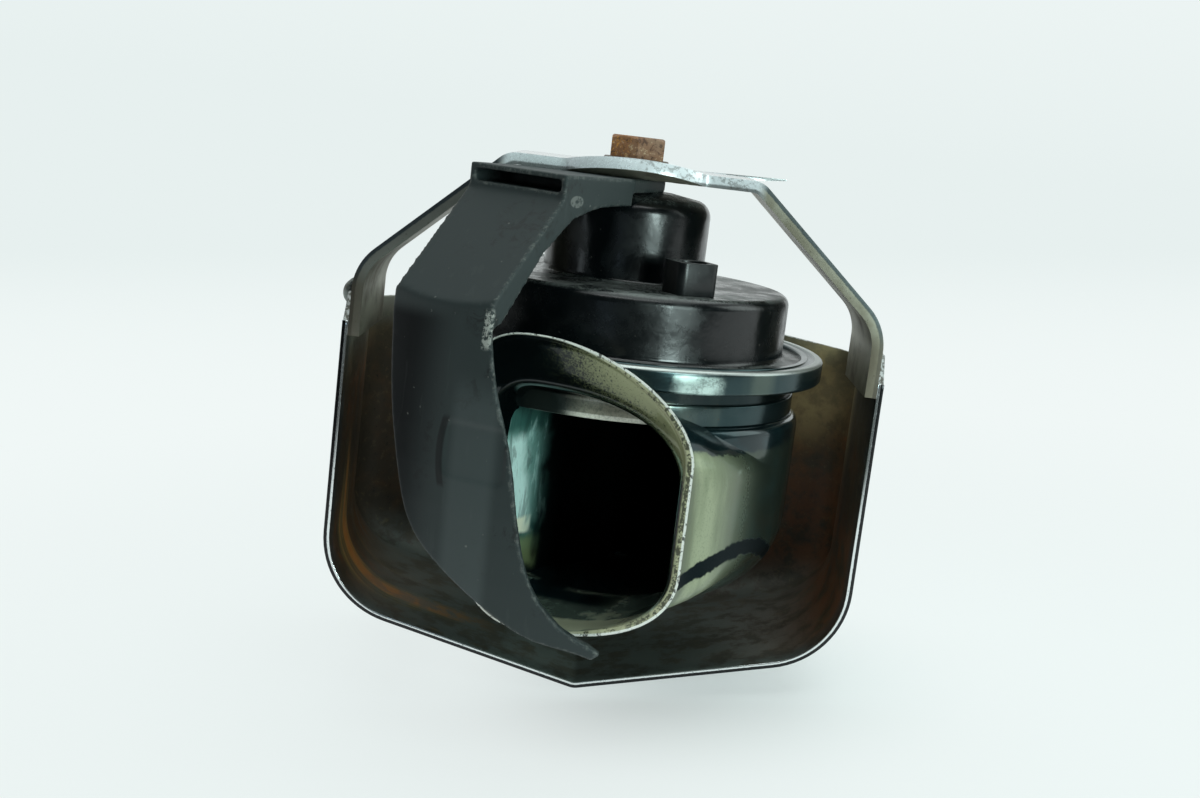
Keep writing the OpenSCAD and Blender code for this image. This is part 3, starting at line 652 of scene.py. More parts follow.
@dataclass(frozen=True)
class BlackEnamel(Finish):
    """Gloss black enamel with dust where it faces up."""

    dust: float = 0.55
    dulled: float = 0.17

    def paint(self, g: Graph) -> dict:
        """Lays dust and specks over black enamel."""
        normal = g.node("ShaderNodeNewGeometry", output="Normal")
        up = g.node("ShaderNodeSeparateXYZ", inputs={0: normal}, output=2)
        cloud = g.noise(9, 6, 0.65)
        fine = g.noise(0.8, 4, 0.7)
        peel = g.noise(1.6, 2, 0.5)
        lies = up.step(0.6, 0.98) * (cloud * 0.8 + fine * 0.5).step(0.5, 0.85) * self.dust
        specks = g.cells(3.4).step(0.1, 0.04) * fine.step(0.45, 0.6)
        smear = g.noise(14, 5, 0.65, twist=0.6).step(0.5, 0.62)
        wiped = (cloud.step(0.55, 0.75) * 0.3 + smear * 0.5).low(1.0)
        colour = g.layers(
            "#04090b",
            (wiped, "#111617"),
            (lies, "#858c88"),
            (specks * 0.4, "#5d5a54"),
        )
        return {
            "Base Color": colour,
            "Roughness": self.dulled + cloud.step(0.35, 0.7) * 0.14 + smear * 0.1 + lies * 0.4,
            "Normal": g.bump(g.noise(7, 3, 0.5) * 0.8 + peel * 0.15 + fine * 0.05, 0.25, 0.5),
        }


@dataclass(frozen=True)
class Lacquer(Finish):
    """Thin dark green lacquer on the projector, worn through to pale olive in places, the pale fields graded
    and banded by painted light.
    """

    turned: float = 17.0
    mouth: float = 57.0

    def paint(self, g: Graph) -> dict:
        """Paints the pale fields with their painted light and sheen, their pooled dark borders, and the bare
        lip with a painted highlight on its edge.
        """
        x, y, z = g.axes(self.turned)
        cloud = g.noise(10, 5, 0.6)
        grain = g.noise(0.45, 3, 0.6)
        # painted reflection: a bright vertical band of sheen on the pale field
        painted_sheen = g.noise(7, 4, 0.5, drawn=(1.0, 1.0, 0.18)).step(0.42, 0.66) * y.band(-47, -39, 5)
        spots = g.noise(1.1, 4, 0.7)
        ragged = g.noise(4.5, 5, 0.65) * 3.6 - 1.8
        inner = g.attribute("inner")
        behind = y + self.mouth
        side = x.step(14, 26) * (1.0 - inner)
        # painted light: the pale field's brightness, rising toward the mouth and dimming again just before it
        lit = y.step(-13, -49) * (1.0 - y.step(-45, -51) * 0.4)
        border = (y + 20.0).squared() * 0.004 - 61.4 + ragged
        pooled = (y + 29.0).squared() * -0.01 - 83.2 + ragged * 0.8
        pool = (z - pooled).band(-1.9, 1.3, 0.6) * side
        field = (border - z).step(-0.2, 0.9) * side
        # pale olive paint whose strength follows the painted light
        pale = field * (0.12 + lit * 0.88) * (0.78 + grain * 0.4)
        roof = behind.step(7.0, 0.0) ** 1.6 * z.step(-70, -58) * x.step(-6, 22) * inner
        olive = roof * (grain * 2.2 + spots * 1.2 + cloud * 0.6 + roof - 1.95).step(0.1, 0.8)
        rim = g.attribute("rim")
        wide = x.step(2, 33) * 1.6 + 0.4
        lip = (rim - wide).step(0.15, -0.2)
        # the lip's outer edge: partly worn white edge and partly a painted highlight
        line = rim.step(0.7, 0.45).top(lip * x.step(20, 4))
        worn = (rim - wide * 0.5).band(-0.35, 0.4, 0.15) * x.step(24, 31)
        chips = (spots * 0.85 + grain * 0.25).step(0.6, 0.63) * lip
        chips = chips.top(worn * (spots * 0.7 + grain * 0.5).step(0.54, 0.6))
        floor = behind.band(1.2, 5.5, 1.5) + behind.band(1.0, 34.0, 5.0) * cloud.step(0.5, 0.62) * 0.6
        floor = floor.low(1.0) * z.step(-88, -98) * inner
        bottom = inner * z.step(-84, -99)
        colour = g.layers(
            "#18282b",
            (cloud.step(0.42, 0.68) * 0.6, "#28454a"),
            (inner * 0.8, "#0a1213"),
            (pale, "#727d61"),
            # painted sheen on the lit pale field
            (field * lit * painted_sheen * 0.55, "#a9b294"),
            (field * y.step(-45.5, -50.5) * 0.5, "#4d5540"),
            (field * grain.step(0.5, 0.68) * 0.3, "#4c5644"),
            (pool, "#121e21"),
            (olive * 0.9, "#5f6741"),
            (olive * olive * 0.7, "#a4a780"),
            (bottom * (0.4 + cloud.step(0.42, 0.6) * 0.5), "#66756a"),
            (floor * 0.8, "#a9ad92"),
            (lip * 0.95, "#b5b694"),
            # near-white line on the lip's edge, partly a painted highlight
            (line * lip, "#f1f4ec"),
            (chips * 0.85, "#23261f"),
        )
        return {
            "Base Color": colour,
            "Metallic": (0.7 - pale * 0.3 - (lip + olive * 0.8 + bottom).low(1.0) * 0.6).top(pool),
            "Roughness": 0.14 + pale * 0.26 + grain * 0.06 + lip * 0.15 + pool * 0.3,
            "Coat Weight": (0.5 - lip * 0.4 - pale * 0.3 * (1.0 - lip)) * (1.0 - pool),
            "Coat Roughness": 0.06,
            "Specular IOR Level": 0.3,
            "Normal": g.bump(grain * 0.4 + cloud * 0.3 - chips * 0.8, 0.06, 0.5),
        }


@dataclass(frozen=True)
class WallLacquer(Finish):
    """Thin dark green lacquer on the winding wall, with painted light in pale teal and olive patches where
    the light reaches in through the mouth.
    """

    def paint(self, g: Graph) -> dict:
        """Lays painted light, in pale teal and olive patches, over dark green."""
        _, y, z = g.axes()
        cloud = g.noise(9, 5, 0.6)
        soft = g.noise(5, 4, 0.6, drawn=(1.0, 1.0, 0.45), twist=0.5)
        drawn = g.noise(3.2, 5, 0.65, drawn=(1.0, 1.0, 0.22), twist=0.4)
        # painted light: the part of the wall that light reaches through the mouth
        near = (y + soft * 9.0).step(-21.5, -27.5)
        # painted glare: the brightest part of the painted light
        bright = (y + soft * 9.0 + (z + 74.0) * 0.12).step(-26.5, -31.0)
        colour = g.layers(
            "#0c1617",
            # painted light and glare, in teal, cream and olive, mottled by streaks
            (near * z.band(-90, -58, 4.0) * 0.85, "#3c6a62"),
            (near * z.band(-84, -64, 3.0) * soft.step(0.35, 0.55) * 0.6, "#86b5ac"),
            (bright * (z + soft * 9.0).band(-81, -62, 4.0) * 0.95, "#dcfff8"),
            (near * drawn.step(0.52, 0.62) * 0.5, "#1c3835"),
            (near * drawn.step(0.46, 0.36) * z.band(-84, -62, 4.0) * 0.6, "#b9e2dc"),
            (bright * (z - cloud * 4.0).band(-89.0, -86.5, 1.2) * 0.9, "#f4f7dc"),
            (near * (z + cloud * 6.0).band(-92, -87, 2.5) * 0.75, "#7f8d62"),
        )
        return {
            "Base Color": colour,
            "Metallic": 0.6 - near * 0.5,
            "Roughness": 0.28 + cloud * 0.15,
            "Coat Weight": 0.3,
            "Normal": g.bump(cloud, 0.2, 0.4),
        }


@dataclass(frozen=True)
class RingLacquer(Finish):
    """The same lacquer on the crimped ring and the plate, rubbed bright on top, with a painted reflection on
    the ring's side and painted light on the skirt seen through the mouth.
    """

    rubbed_z: float = -42.6
    band_z: tuple[float, float] = (-56.0, -51.0)

    def paint(self, g: Graph) -> dict:
        """Paints rubbed metal on top, pale patches round the side, a painted reflection on the ring and
        painted light on the skirt.
        """
        x, y, z = g.axes()
        cloud = g.noise(8, 5, 0.6)
        round_patch = g.noise(15, 3, 0.5, drawn=(1.0, 1.0, 0.15))
        fine = g.noise(0.7, 4, 0.7)
        out = (x * x + y * y) ** 0.5
        top = z.step(self.rubbed_z - 0.3, self.rubbed_z + 0.3) * out.step(49.6, 50.6)
        top = top * (cloud * 0.6 + fine * 0.5).step(0.2, 0.5)
        patch = round_patch.step(0.52, 0.66)
        skirt = z.step(self.band_z[1] + 0.8, self.band_z[1]) * z.step(self.band_z[0] - 0.5, self.band_z[0])
        # painted light: where the skirt is seen through the mouth it is painted pale as lit, with painted
        # highlights along its edges
        seen = y.step(-36, -44) * x.step(16, 8) * (fine.step(0.3, 0.6) * 0.3 + 0.7) * x.step(-12, -3)
        # painted reflection: a pale band on the ring's side where it mirrors the light at the front right
        painted_glint = (x + cloud * 8.0).band(20.5, 26, 3.0) * y.step(-38, -42)
        painted_glint = painted_glint * (fine * 0.5 + cloud * 0.7).step(0.3, 0.6)
        colour = g.layers(
            "#344547",
            (cloud.step(0.4, 0.7) * 0.6, "#22373a"),
            (patch * z.step(-42.2, -42.8) * 0.3, "#7f8a7c"),
            (z.step(-47.4, -47.8) * z.step(-51.4, -50.8) * 0.8, "#1a2526"),
            # painted reflection on the ring's side
            (painted_glint * z.band(-47.6, -43.5, 0.6) * 0.9, "#d3ebe4"),
            # skirt painted pale as lit
            (skirt * seen, "#a3a592"),
            # painted highlights along the skirt's lower and upper edges
            (z.band(-56.4, -55.0, 0.25) * seen, "#eef2e2"),
            (z.band(-51.9, -51.3, 0.2) * seen * 0.8, "#c4c4b4"),
            (top * 0.8, "#c4cac6"),
            (fine.step(0.64, 0.7) * 0.5, "#5a4a38"),
        )
        return {
            "Base Color": colour,
            "Metallic": 0.85 - skirt * seen * 0.7 - painted_glint * 0.4,
            "Roughness": 0.14 + cloud * 0.12 + top * 0.15,
            "Normal": g.bump(cloud * 0.5 + fine * 0.5, 0.06, 0.5),
        }


@dataclass(frozen=True)
class BareMetal(Finish):
    """A plain metal of the works inside, slightly tarnished."""

    ground: str = "#b8903f"
    tarnish: str = "#5d4520"
    shine: float = 0.28

    def paint(self, g: Graph) -> dict:
        """Mixes metal, tarnish and tool marks."""
        cloud = g.noise(3, 5, 0.6)
        marks = g.noise(0.5, 3, 0.6, drawn=(1.0, 1.0, 0.1))
        colour = g.layers(self.ground, (cloud.step(0.45, 0.7) * 0.6, self.tarnish))
        return {
            "Base Color": colour,
            "Metallic": 1.0,
            "Roughness": self.shine + cloud * 0.2,
            "Normal": g.bump(marks, 0.03, 0.4),
        }


@dataclass(frozen=True)
class Board(Finish):
    """Pressed board or resin: brown, faintly fibrous."""

    ground: str = "#4a2a1a"
    fibre: str = "#6a4127"

    def paint(self, g: Graph) -> dict:
        """Mixes fibres and a dull face."""
        fibres = g.noise(0.8, 5, 0.7, drawn=(0.3, 1.0, 1.0))
        cloud = g.noise(5, 4)
        fleck = cloud.step(0.6, 0.8) * 0.4
        colour = g.layers(self.ground, (fibres.step(0.45, 0.65) * 0.7, self.fibre), (fleck, "#1d130d"))
        return {
            "Base Color": colour,
            "Roughness": 0.5 + fibres * 0.2,
            "Normal": g.bump(fibres, 0.05, 0.5),
        }


@dataclass(frozen=True)
class Winding(Finish):
    """Enamelled copper wire in close turns."""

    turn: float = 0.45

    def paint(self, g: Graph) -> dict:
        """Rounds each turn of wire and darkens the gaps."""
        _, _, z = g.axes()
        wave = (z * (2 * math.pi / self.turn)).sine() * 0.5 + 0.5
        cloud = g.noise(3, 4)
        aged = cloud.step(0.4, 0.7) * 0.5
        colour = g.layers("#a2552a", (aged, "#7d3f22"), (wave.step(0.3, 0.0), "#2a140c"))
        return {
            "Base Color": colour,
            "Metallic": 0.8,
            "Roughness": 0.25 + cloud * 0.2,
            "Normal": g.bump(wave, self.turn / 2, 0.8),
        }


class Finishes:
    """Every finish of the horn."""

    chrome = Chrome("plating_outside")
    strap_top = Chrome("plating_strap", haze=0.2, pitted=0.8, grime="#6a5d4c")
    edge = RimPlating("plating_edge")
    strap_edge = StrapEdge("strap_edge")
    inside = StainedInside("stained_inside")
    dull = DullSteel("clouded_steel", ground="#a3a291", shine=0.5)
    rust = Rust("rusted_bolt")
    washer = DullSteel("washer_steel", ground="#77706a")
    weld = Weld("weld_slag")
    moulding = Moulding("matte_moulding")
    enamel = BlackEnamel("gloss_enamel")
    boss = BlackEnamel("boss_enamel", dust=0.25, dulled=0.3)
    lacquer = Lacquer("green_lacquer")
    wall = WallLacquer("wall_lacquer")
    ring = RingLacquer("ring_lacquer")
    brass = BareMetal("tarnished_brass")
    spring = BareMetal("spring_bronze", ground="#b9873c", tarnish="#7b5526", shine=0.2)
    steel = BareMetal("bright_steel", ground="#a9abac", tarnish="#5c5955", shine=0.26)
    iron = BareMetal("soft_iron", ground="#76777a", tarnish="#3e3833", shine=0.36)
    silver = BareMetal("contact_metal", ground="#d9dadb", tarnish="#8b8780", shine=0.16)
    plated = BareMetal("plated_screw", ground="#c3c1b4", tarnish="#8a7a4c", shine=0.22)
    board = Board("brown_board")
    resin = Board("dark_resin", ground="#2e1a12", fibre="#452718")
    paper = Board("gasket_board", ground="#8a7350", fibre="#a28a64")
    winding = Winding("copper_winding")


# WORKSHOP


def only(obj: bpy.types.Object) -> None:
    """Selects one object and makes it the active one."""
    bpy.ops.object.select_all(action="DESELECT")
    obj.select_set(True)
    bpy.context.view_layer.objects.active = obj


@contextmanager
def editing(obj: bpy.types.Object) -> Iterator[None]:
    """Holds an object in edit mode, with all of it selected."""
    only(obj)
    bpy.ops.object.mode_set(mode="EDIT")
    bpy.ops.mesh.select_all(action="SELECT")
    try:
        yield
    finally:
        bpy.ops.object.mode_set(mode="OBJECT")


def extrude(obj: bpy.types.Object, way: Point) -> bpy.types.Object:
    """Fills a drawn outline and extrudes it.

    Args:
        obj: the outline.
        way: how far along X, Y and Z, in millimetres.

    Returns:
        The piece.
    """
    with editing(obj):
        bpy.ops.mesh.edge_face_add()
        bpy.ops.mesh.extrude_region_move(TRANSFORM_OT_translate={"value": tuple(c * MM for c in way)})
    return mend(obj)


def named(name: str) -> bpy.types.Object:
    """Names the primitive that was just added."""
    obj = bpy.context.active_object
    obj.name = name
    obj.data.name = name
    return obj


def settle(obj: bpy.types.Object) -> bpy.types.Object:
    """Puts an object's place, turn and scale into its mesh."""
    only(obj)
    bpy.ops.object.transform_apply(location=True, rotation=True, scale=True)
    return obj


def mend(obj: bpy.types.Object, reach: float = 0.002) -> bpy.types.Object:
    """Merges points that lie on each other and turns the faces outward.

    Args:
        obj: the piece.
        reach: the most that two merged points may be apart, in millimetres.

    Returns:
        The piece.
    """
    with editing(obj):
        bpy.ops.mesh.remove_doubles(threshold=reach * MM)
        bpy.ops.mesh.normals_make_consistent(inside=False)
    return obj


def modify(obj: bpy.types.Object, kind: str, **settings: object) -> bpy.types.Object:
    """Adds a modifier and applies it.

    Args:
        obj: the piece.
        kind: the modifier's type.
        settings: the modifier's own settings.

    Returns:
        The piece.
    """
    only(obj)
    made = obj.modifiers.new(kind.lower(), kind)
    for key, value in settings.items():
        setattr(made, key, value)
    bpy.ops.object.modifier_apply(modifier=made.name)
    return obj


def soften(obj: bpy.types.Object, width: float, segments: int = 3, angle: float = 35.0) -> bpy.types.Object:
    """Rounds the edges that turn by more than an angle."""
    limit = {"limit_method": "ANGLE", "angle_limit": math.radians(angle), "use_clamp_overlap": True}
    return modify(obj, "BEVEL", width=width * MM, segments=segments, miter_outer="MITER_ARC", **limit)


def between(a: Flat, b: Flat, parts: int) -> list[Flat]:
    """The points that cut the way from a to b into equal parts, without its ends."""
    return [(a[0] + (b[0] - a[0]) * i / parts, a[1] + (b[1] - a[1]) * i / parts) for i in range(1, parts)]


def smooth(obj: bpy.types.Object, angle: float = 40.0) -> bpy.types.Object:
    """Shades a piece smoothly, except over edges that turn by more than an angle."""
    only(obj)
    bpy.ops.object.shade_smooth_by_angle(angle=math.radians(angle))
    return obj


def skin(name: str, rings: Sequence[Sequence[Point]], closed: bool = True) -> bpy.types.Object:
    """Lays a grid over rings of points.

    Args:
        name: the piece's name.
        rings: rows of as many points each, in millimetres.
        closed: whether each row comes back to its first point.

    Returns:
        The piece.
    """
    rows = [list(ring) + ([ring[0]] if closed else []) for ring in rings]
    across, down = len(rows[0]) - 1, len(rows) - 1
    bpy.ops.mesh.primitive_grid_add(x_subdivisions=across, y_subdivisions=down, size=1)
    obj = named(name)
    places = np.array(rows, float).reshape(-1, 3) * MM
    obj.data.vertices.foreach_set("co", places.ravel())
    obj.data.update()
    return mend(obj)


def draw(name: str, points: Sequence[Point], closed: bool) -> bpy.types.Object:
    """Draws a line of points by extruding one point after another.

    Args:
        name: the piece's name.
        points: the line, in millimetres.
        closed: whether the line comes back to its first point.

    Returns:
        The piece.
    """
    bpy.ops.mesh.primitive_plane_add(size=0.001)
    obj = named(name)
    line = list(points) + ([points[0]] if closed else [])
    with editing(obj):
        bpy.ops.mesh.merge(type="CENTER")
        bpy.ops.transform.translate(value=tuple(c * MM for c in line[0]))
        for start, end in zip(line, line[1:]):
            move = tuple((b - a) * MM for a, b in zip(start, end))
            bpy.ops.mesh.extrude_vertices_move(TRANSFORM_OT_translate={"value": move})
        if closed:
            bpy.ops.mesh.select_all(action="SELECT")
            bpy.ops.mesh.remove_doubles(threshold=0.001 * MM)
    return obj


def turned(
    name: str,
    outline: Sequence[Flat],
    steps: int = 160,
    closed: bool = True,
    start: float = 0.0,
    wide: float = FULL_TURN,
) -> bpy.types.Object:
    """Spins an outline of (radius, height) round the horn's axis.

    Args:
        name: the piece's name.
        outline: the outline, in millimetres.
        steps: how many steps the turn has.
        closed: whether the outline comes back to its first point.
        start: where the turn starts, in radians.
        wide: how far it turns. Less than a full turn gets end faces.

    Returns:
        The piece.
    """
    obj = draw(name, [(r * math.cos(start), r * math.sin(start), z) for r, z in outline], closed)
    with editing(obj):
        bpy.ops.mesh.spin(steps=steps, angle=wide, center=(0, 0, 0), axis=(0, 0, 1), use_auto_merge=True)
        if wide < FULL_TURN:
            bpy.ops.mesh.select_all(action="DESELECT")
            bpy.ops.mesh.select_non_manifold()
            bpy.ops.mesh.fill_holes(sides=0)
    return mend(obj)


def arc(centre: Flat, radius: float, start: float, end: float, steps: int) -> list[Flat]:
    """Points of an arc between two angles in degrees."""
    angles = [math.radians(start + (end - start) * i / steps) for i in range(steps + 1)]
    return [(centre[0] + radius * math.cos(a), centre[1] + radius * math.sin(a)) for a in angles]


def copy_of(nodes: dict[str, bpy.types.Object], node: str, name: str) -> bpy.types.Object:
    """A merged copy of a CAD node's mesh, to be refined.

    Args:
        nodes: the CAD nodes.
        node: the node's name.
        name: the copy's name.

    Returns:
        The copy.
    """
    made = bpy.data.objects.new(name, nodes[node].data.copy())
    made.data.materials.clear()
    bpy.context.scene.collection.objects.link(made)
    with editing(made):
        bpy.ops.mesh.remove_doubles(threshold=0.002 * MM)
    return made


def carve(obj: bpy.types.Object, *cutters: bpy.types.Object, join: bool = False) -> bpy.types.Object:
    """Cuts pieces out of another one, or joins them to it, and removes them.

    Args:
        obj: the piece that stays.
        cutters: the pieces that go.
        join: whether they are joined instead of cut out.

    Returns:
        The piece.
    """
    for cutter in cutters:
        modify(obj, "BOOLEAN", object=cutter, operation="UNION" if join else "DIFFERENCE", solver="EXACT")
        bpy.data.objects.remove(cutter)
    return obj


def rod(name: str, radius: float, low: Point, high: Point, sides: int = 48) -> bpy.types.Object:
    """A round bar between two points, with its ends closed."""
    start, end = Vector(low) * MM, Vector(high) * MM
    bpy.ops.mesh.primitive_cylinder_add(
        vertices=sides,
        radius=radius * MM,
        depth=(end - start).length,
        location=(start + end) / 2,
        rotation=(end - start).to_track_quat("Z", "Y").to_euler(),
    )
    return settle(named(name))


def block(name: str, low: Point, high: Point) -> bpy.types.Object:
    """A rough block between two corners, used to cut with."""
    middle = [(a + b) / 2 * MM for a, b in zip(low, high)]
    bpy.ops.mesh.primitive_cube_add(size=1, location=middle)
    obj = named(name)
    obj.scale = [abs(b - a) * MM for a, b in zip(low, high)]
    return settle(obj)


def spread(values: np.ndarray, ends: np.ndarray, rounds: int) -> np.ndarray:
    """Evens out a value over a mesh's edges.

    Args:
        values: one value a point.
        ends: the two points of each edge.
        rounds: how often it is evened out.

    Returns:
        The evened values.
    """
    count = np.bincount(ends.ravel(), minlength=len(values)).astype(float)
    for _ in range(rounds):
        total = np.zeros(len(values))
        np.add.at(total, ends[:, 0], values[ends[:, 1]])
        np.add.at(total, ends[:, 1], values[ends[:, 0]])
        values = 0.5 * values + 0.5 * total / np.maximum(count, 1)
    return values


def mark_edges(obj: bpy.types.Object, rounds: int = 3) -> bpy.types.Object:
    """Stores on each point how sharply the surface turns outward there, as the value edge.

    Args:
        obj: the piece.
        rounds: how far the value spreads.

    Returns:
        The piece.
    """
    mesh, places = obj.data, places_of(obj)
    normals = np.array([v.normal for v in mesh.vertices])
    ends = np.zeros(len(mesh.edges) * 2, int)
    mesh.edges.foreach_get("vertices", ends)
    ends = ends.reshape(-1, 2)
    along = places[ends[:, 1]] - places[ends[:, 0]]
    length = np.maximum(np.linalg.norm(along, axis=1), 1e-4)
    turn = np.einsum("ij,ij->i", normals[ends[:, 1]] - normals[ends[:, 0]], along) / length
    value = np.zeros(len(places))
    np.maximum.at(value, ends[:, 0], turn)
    np.maximum.at(value, ends[:, 1], turn)
    value = spread(np.clip(value, 0, 1), ends, rounds)
    store(obj, "edge", np.clip(value * 2.2, 0, 1))
    return obj


def reach(places: np.ndarray, line: Sequence[Sequence[float]], closed: bool = True) -> np.ndarray:
    """Each place's distance from a line of points.

    Args:
        places: the places, one a row.
        line: the line's points, with as many numbers each.
        closed: whether the line runs back to its start.

    Returns:
        The distances.
    """
    edge = np.array(line)
    along = (np.roll(edge, -1, axis=0) - edge)[: None if closed else -1]
    start, found = edge[: len(along)], np.full(len(places), 1e9)
    for a, way in zip(start, along):
        off = places - a
        share = np.clip(off @ way / max(way @ way, 1e-12), 0, 1)
        found = np.minimum(found, np.linalg.norm(off - share[:, None] * way, axis=1))
    return found


def places_of(obj: bpy.types.Object) -> np.ndarray:
    """The points of a piece in millimetres."""
    flat = np.empty(3 * len(obj.data.vertices), np.float32)
    obj.data.vertices.foreach_get("co", flat)
    return flat.reshape(-1, 3).astype(float) / MM


def store(obj: bpy.types.Object, name: str, values: np.ndarray) -> None:
    """Stores one value a point on a piece."""
    made = obj.data.attributes.new(name, "FLOAT", "POINT")
    made.data.foreach_set("value", np.asarray(values, np.float32))


def dress(obj: bpy.types.Object, *finishes: Finish) -> bpy.types.Object:
    """Gives a piece its finishes. All of it shows the first one until its faces are sorted."""
    obj.data.materials.clear()
    for finish in finishes:
        obj.data.materials.append(finish.material())
    return obj


@dataclass
class Assembly:
    """What every sub-assembly shares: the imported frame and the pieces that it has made."""

    frame: dict
    made: list[bpy.types.Object] = field(default_factory=list)

    @property
    def nodes(self) -> dict[str, bpy.types.Object]:
        """The CAD nodes by name."""
        return self.frame["nodes"]

    def place(self, obj: bpy.types.Object, body: Body, *nodes: str) -> bpy.types.Object:
        """Sets a finished piece on its body, in place of CAD nodes.

        Args:
            obj: the piece.
            body: the body that it rides on.
            nodes: the CAD nodes that it stands for.

        Returns:
            The piece.
        """
        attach(obj, body.value)
        if nodes:
            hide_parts(*nodes)
        self.made.append(obj)
        LOG.info("%s: %d faces on %s", obj.name, len(obj.data.polygons), body.value)
        return obj

    def show(self, obj: bpy.types.Object, angle: float, finish: Finish, body: Body, node: str) -> None:
        """Smooths, dresses and places a piece.

        Args:
            obj: the piece.
            angle: how sharp an edge may be and still be shaded smoothly, in degrees.
            finish: the piece's finish.
            body: the body that it rides on.
            node: the CAD node that it stands for.
        """
        self.place(dress(smooth(obj, angle), finish), body, node)

    def keep(self, node: str, finish: Finish) -> None:
        """Shows a CAD node as it is, in a finish."""
        dress(self.nodes[node], finish)
        LOG.info("%s: kept", node)

    def refined(self, node: str, name: str, width: float, finish: Finish, body: Body) -> None:
        """Shows a CAD node with its edges rounded.

        Args:
            node: the CAD node.
            name: the new piece's name.
            width: the width of the rounding.
            finish: the piece's finish.
            body: the body that it rides on.
        """
        obj = copy_of(self.nodes, node, name)
        with editing(obj):
            bpy.ops.mesh.dissolve_limited(angle_limit=math.radians(0.4))
        self.show(soften(obj, width, 2), 40, finish, body, node)


# COVER


@dataclass
class Cover(Assembly):
    """The pressed cover: a box with its back and the middle of its top open."""

    width: float = 131.8
    height: float = 85.8
    depth: float = 75.0
    back: float = 17.0
    rim_drop: float = 44.7
    sheet: float = 1.5
    corner: float = 22.0
    slope: float = 13.3
    flare: float = 6.0
    edge: float = 9.0
    crown: float = 4.0
    roof_rise: float = 9.0
    ear_rise: float = 6.5
    ear_end: float = 17.3
    keel_r: float = 5.0
    spare: float = 6.0  # how far the uncut walls stand above the strap
    cut_top: float = 12.0

    @property
    def front(self) -> float:
        """Distance from the bolt to the edge of the front face."""
        return self.depth - self.back

    @property
    def low(self) -> float:
        """Height of the cover's lowest point."""
        return -self.rim_drop - self.height

    def swell(self, y: float) -> float:
        """How much the sides have swollen at y."""
        return self.flare * max(0.0, y / (self.front - self.edge)) ** 2

    def outline(self, y: float, inset: float = 0.0) -> list[Point]:
        """The closed outline of the cover at y."""
        s = math.radians(self.slope)
        w = self.width / 2 + self.swell(y) - inset
        low = self.low - self.swell(y) / 2 + inset
        xc, rv, top = w - self.corner, self.keel_r, self.spare - inset
        zc = low + xc * math.tan(s) + self.corner / math.cos(s)
        side = [(w, top + (zc - top) * i / 12) for i in range(12)]
        bend = arc((xc, zc), self.corner, 0, self.slope - 90, 16)
        keel = arc((0, low + rv / math.cos(s)), rv, self.slope - 90, -90, 4)
        half = side + bend + between(bend[-1], keel[0], 10) + keel
        ring = half + [(-x, z) for x, z in half[-2::-1]]
        lid = [(-w + 2 * w * i / 12, top) for i in range(1, 12)]
        return [(x, y, z) for x, z in ring + lid]

    def rings(self) -> list[list[Point]]:
        """The cover's outer face from the open back to the middle of the front."""
        y1 = self.front - self.edge
        made = [self.outline(-self.back + (y1 + self.back) * i / 20) for i in range(21)]
        for i in range(1, 9):
            a = math.radians(90 * i / 8)
            ring = self.outline(y1, self.edge * (1 - math.cos(a)))
            made.append([(x, y + self.edge * math.sin(a), z) for x, y, z in ring])
        last, mid = made[-1], -self.rim_drop - self.height / 2
        for i in range(1, 15):
            f = 1 - i / 14
            rise = self.front + self.crown * (1 - f * f)
            made.append([(x * f, rise, mid + (z - mid) * f) for x, _, z in last])
        return made

    def cutter(self) -> bpy.types.Object:
        """A block over the top edges of the walls and of the front face."""
        half, over, mid = self.width / 2 + self.flare + 3, 3.0, self.front * 0.5
        rim, roof = -self.rim_drop, -self.rim_drop - 3
        ear = rim + self.ear_rise
        walls = [
            (-self.back - over, rim), (-self.back + 1, rim), (-self.back + 5, ear), (self.ear_end, ear),
            (mid, roof), (mid, self.cut_top), (-self.back - over, self.cut_top),
        ]
        face = [(-half, roof), (0.0, roof + self.roof_rise), (half, roof)]
        face += [(half, self.cut_top), (-half, self.cut_top)]
        side = extrude(draw("walls_cut", [(-half, y, z) for y, z in walls], True), (2 * half, 0, 0))
        end = draw("face_cut", [(x, mid - 0.01, z) for x, z in face], True)
        return carve(side, extrude(end, (0, self.front + self.crown + over - mid, 0)), join=True)

    def build(self) -> None:
        """Builds the shell and dresses its outer face, inner face and edges."""
        obj = skin("cover_pressing", self.rings())
        modify(obj, "SOLIDIFY", thickness=self.sheet * MM, offset=-1.0, use_even_offset=True)
        mend(obj)
        carve(obj, self.cutter())
        soften(obj, 0.4, 2, 50)
        smooth(obj, 50)
        self.paint(obj)
        places = places_of(obj)
        edge = reach(places[:, [0, 2]], [(x, z) for x, _, z in self.outline(-self.back)])
        store(obj, "rim", np.where(places[:, 1] < 0.6 - self.back, edge, 50.0))
        self.place(obj, Body.COVER, "cover_shell")

    def paint(self, obj: bpy.types.Object) -> None:
        """Sorts the faces into outside, inside and edge by where they look."""
        dress(obj, Finishes.chrome, Finishes.inside, Finishes.edge)
        mid = Vector((0, 20, -self.rim_drop - self.height / 2)) * MM
        for face in obj.data.polygons:
            rim = face.center.y < (-self.back + 0.35) * MM and face.normal.y < -0.4
            slant = face.normal.y < -0.4 and face.center.z > (-self.rim_drop - 1) * MM
            upper = face.normal.z > 0.5 and face.center.z > -60 * MM or slant
            outward = (face.center - mid).dot(face.normal) > 0
            face.material_index = 2 if rim or upper else (0 if outward else 1)


# STRAP AND FASTENERS


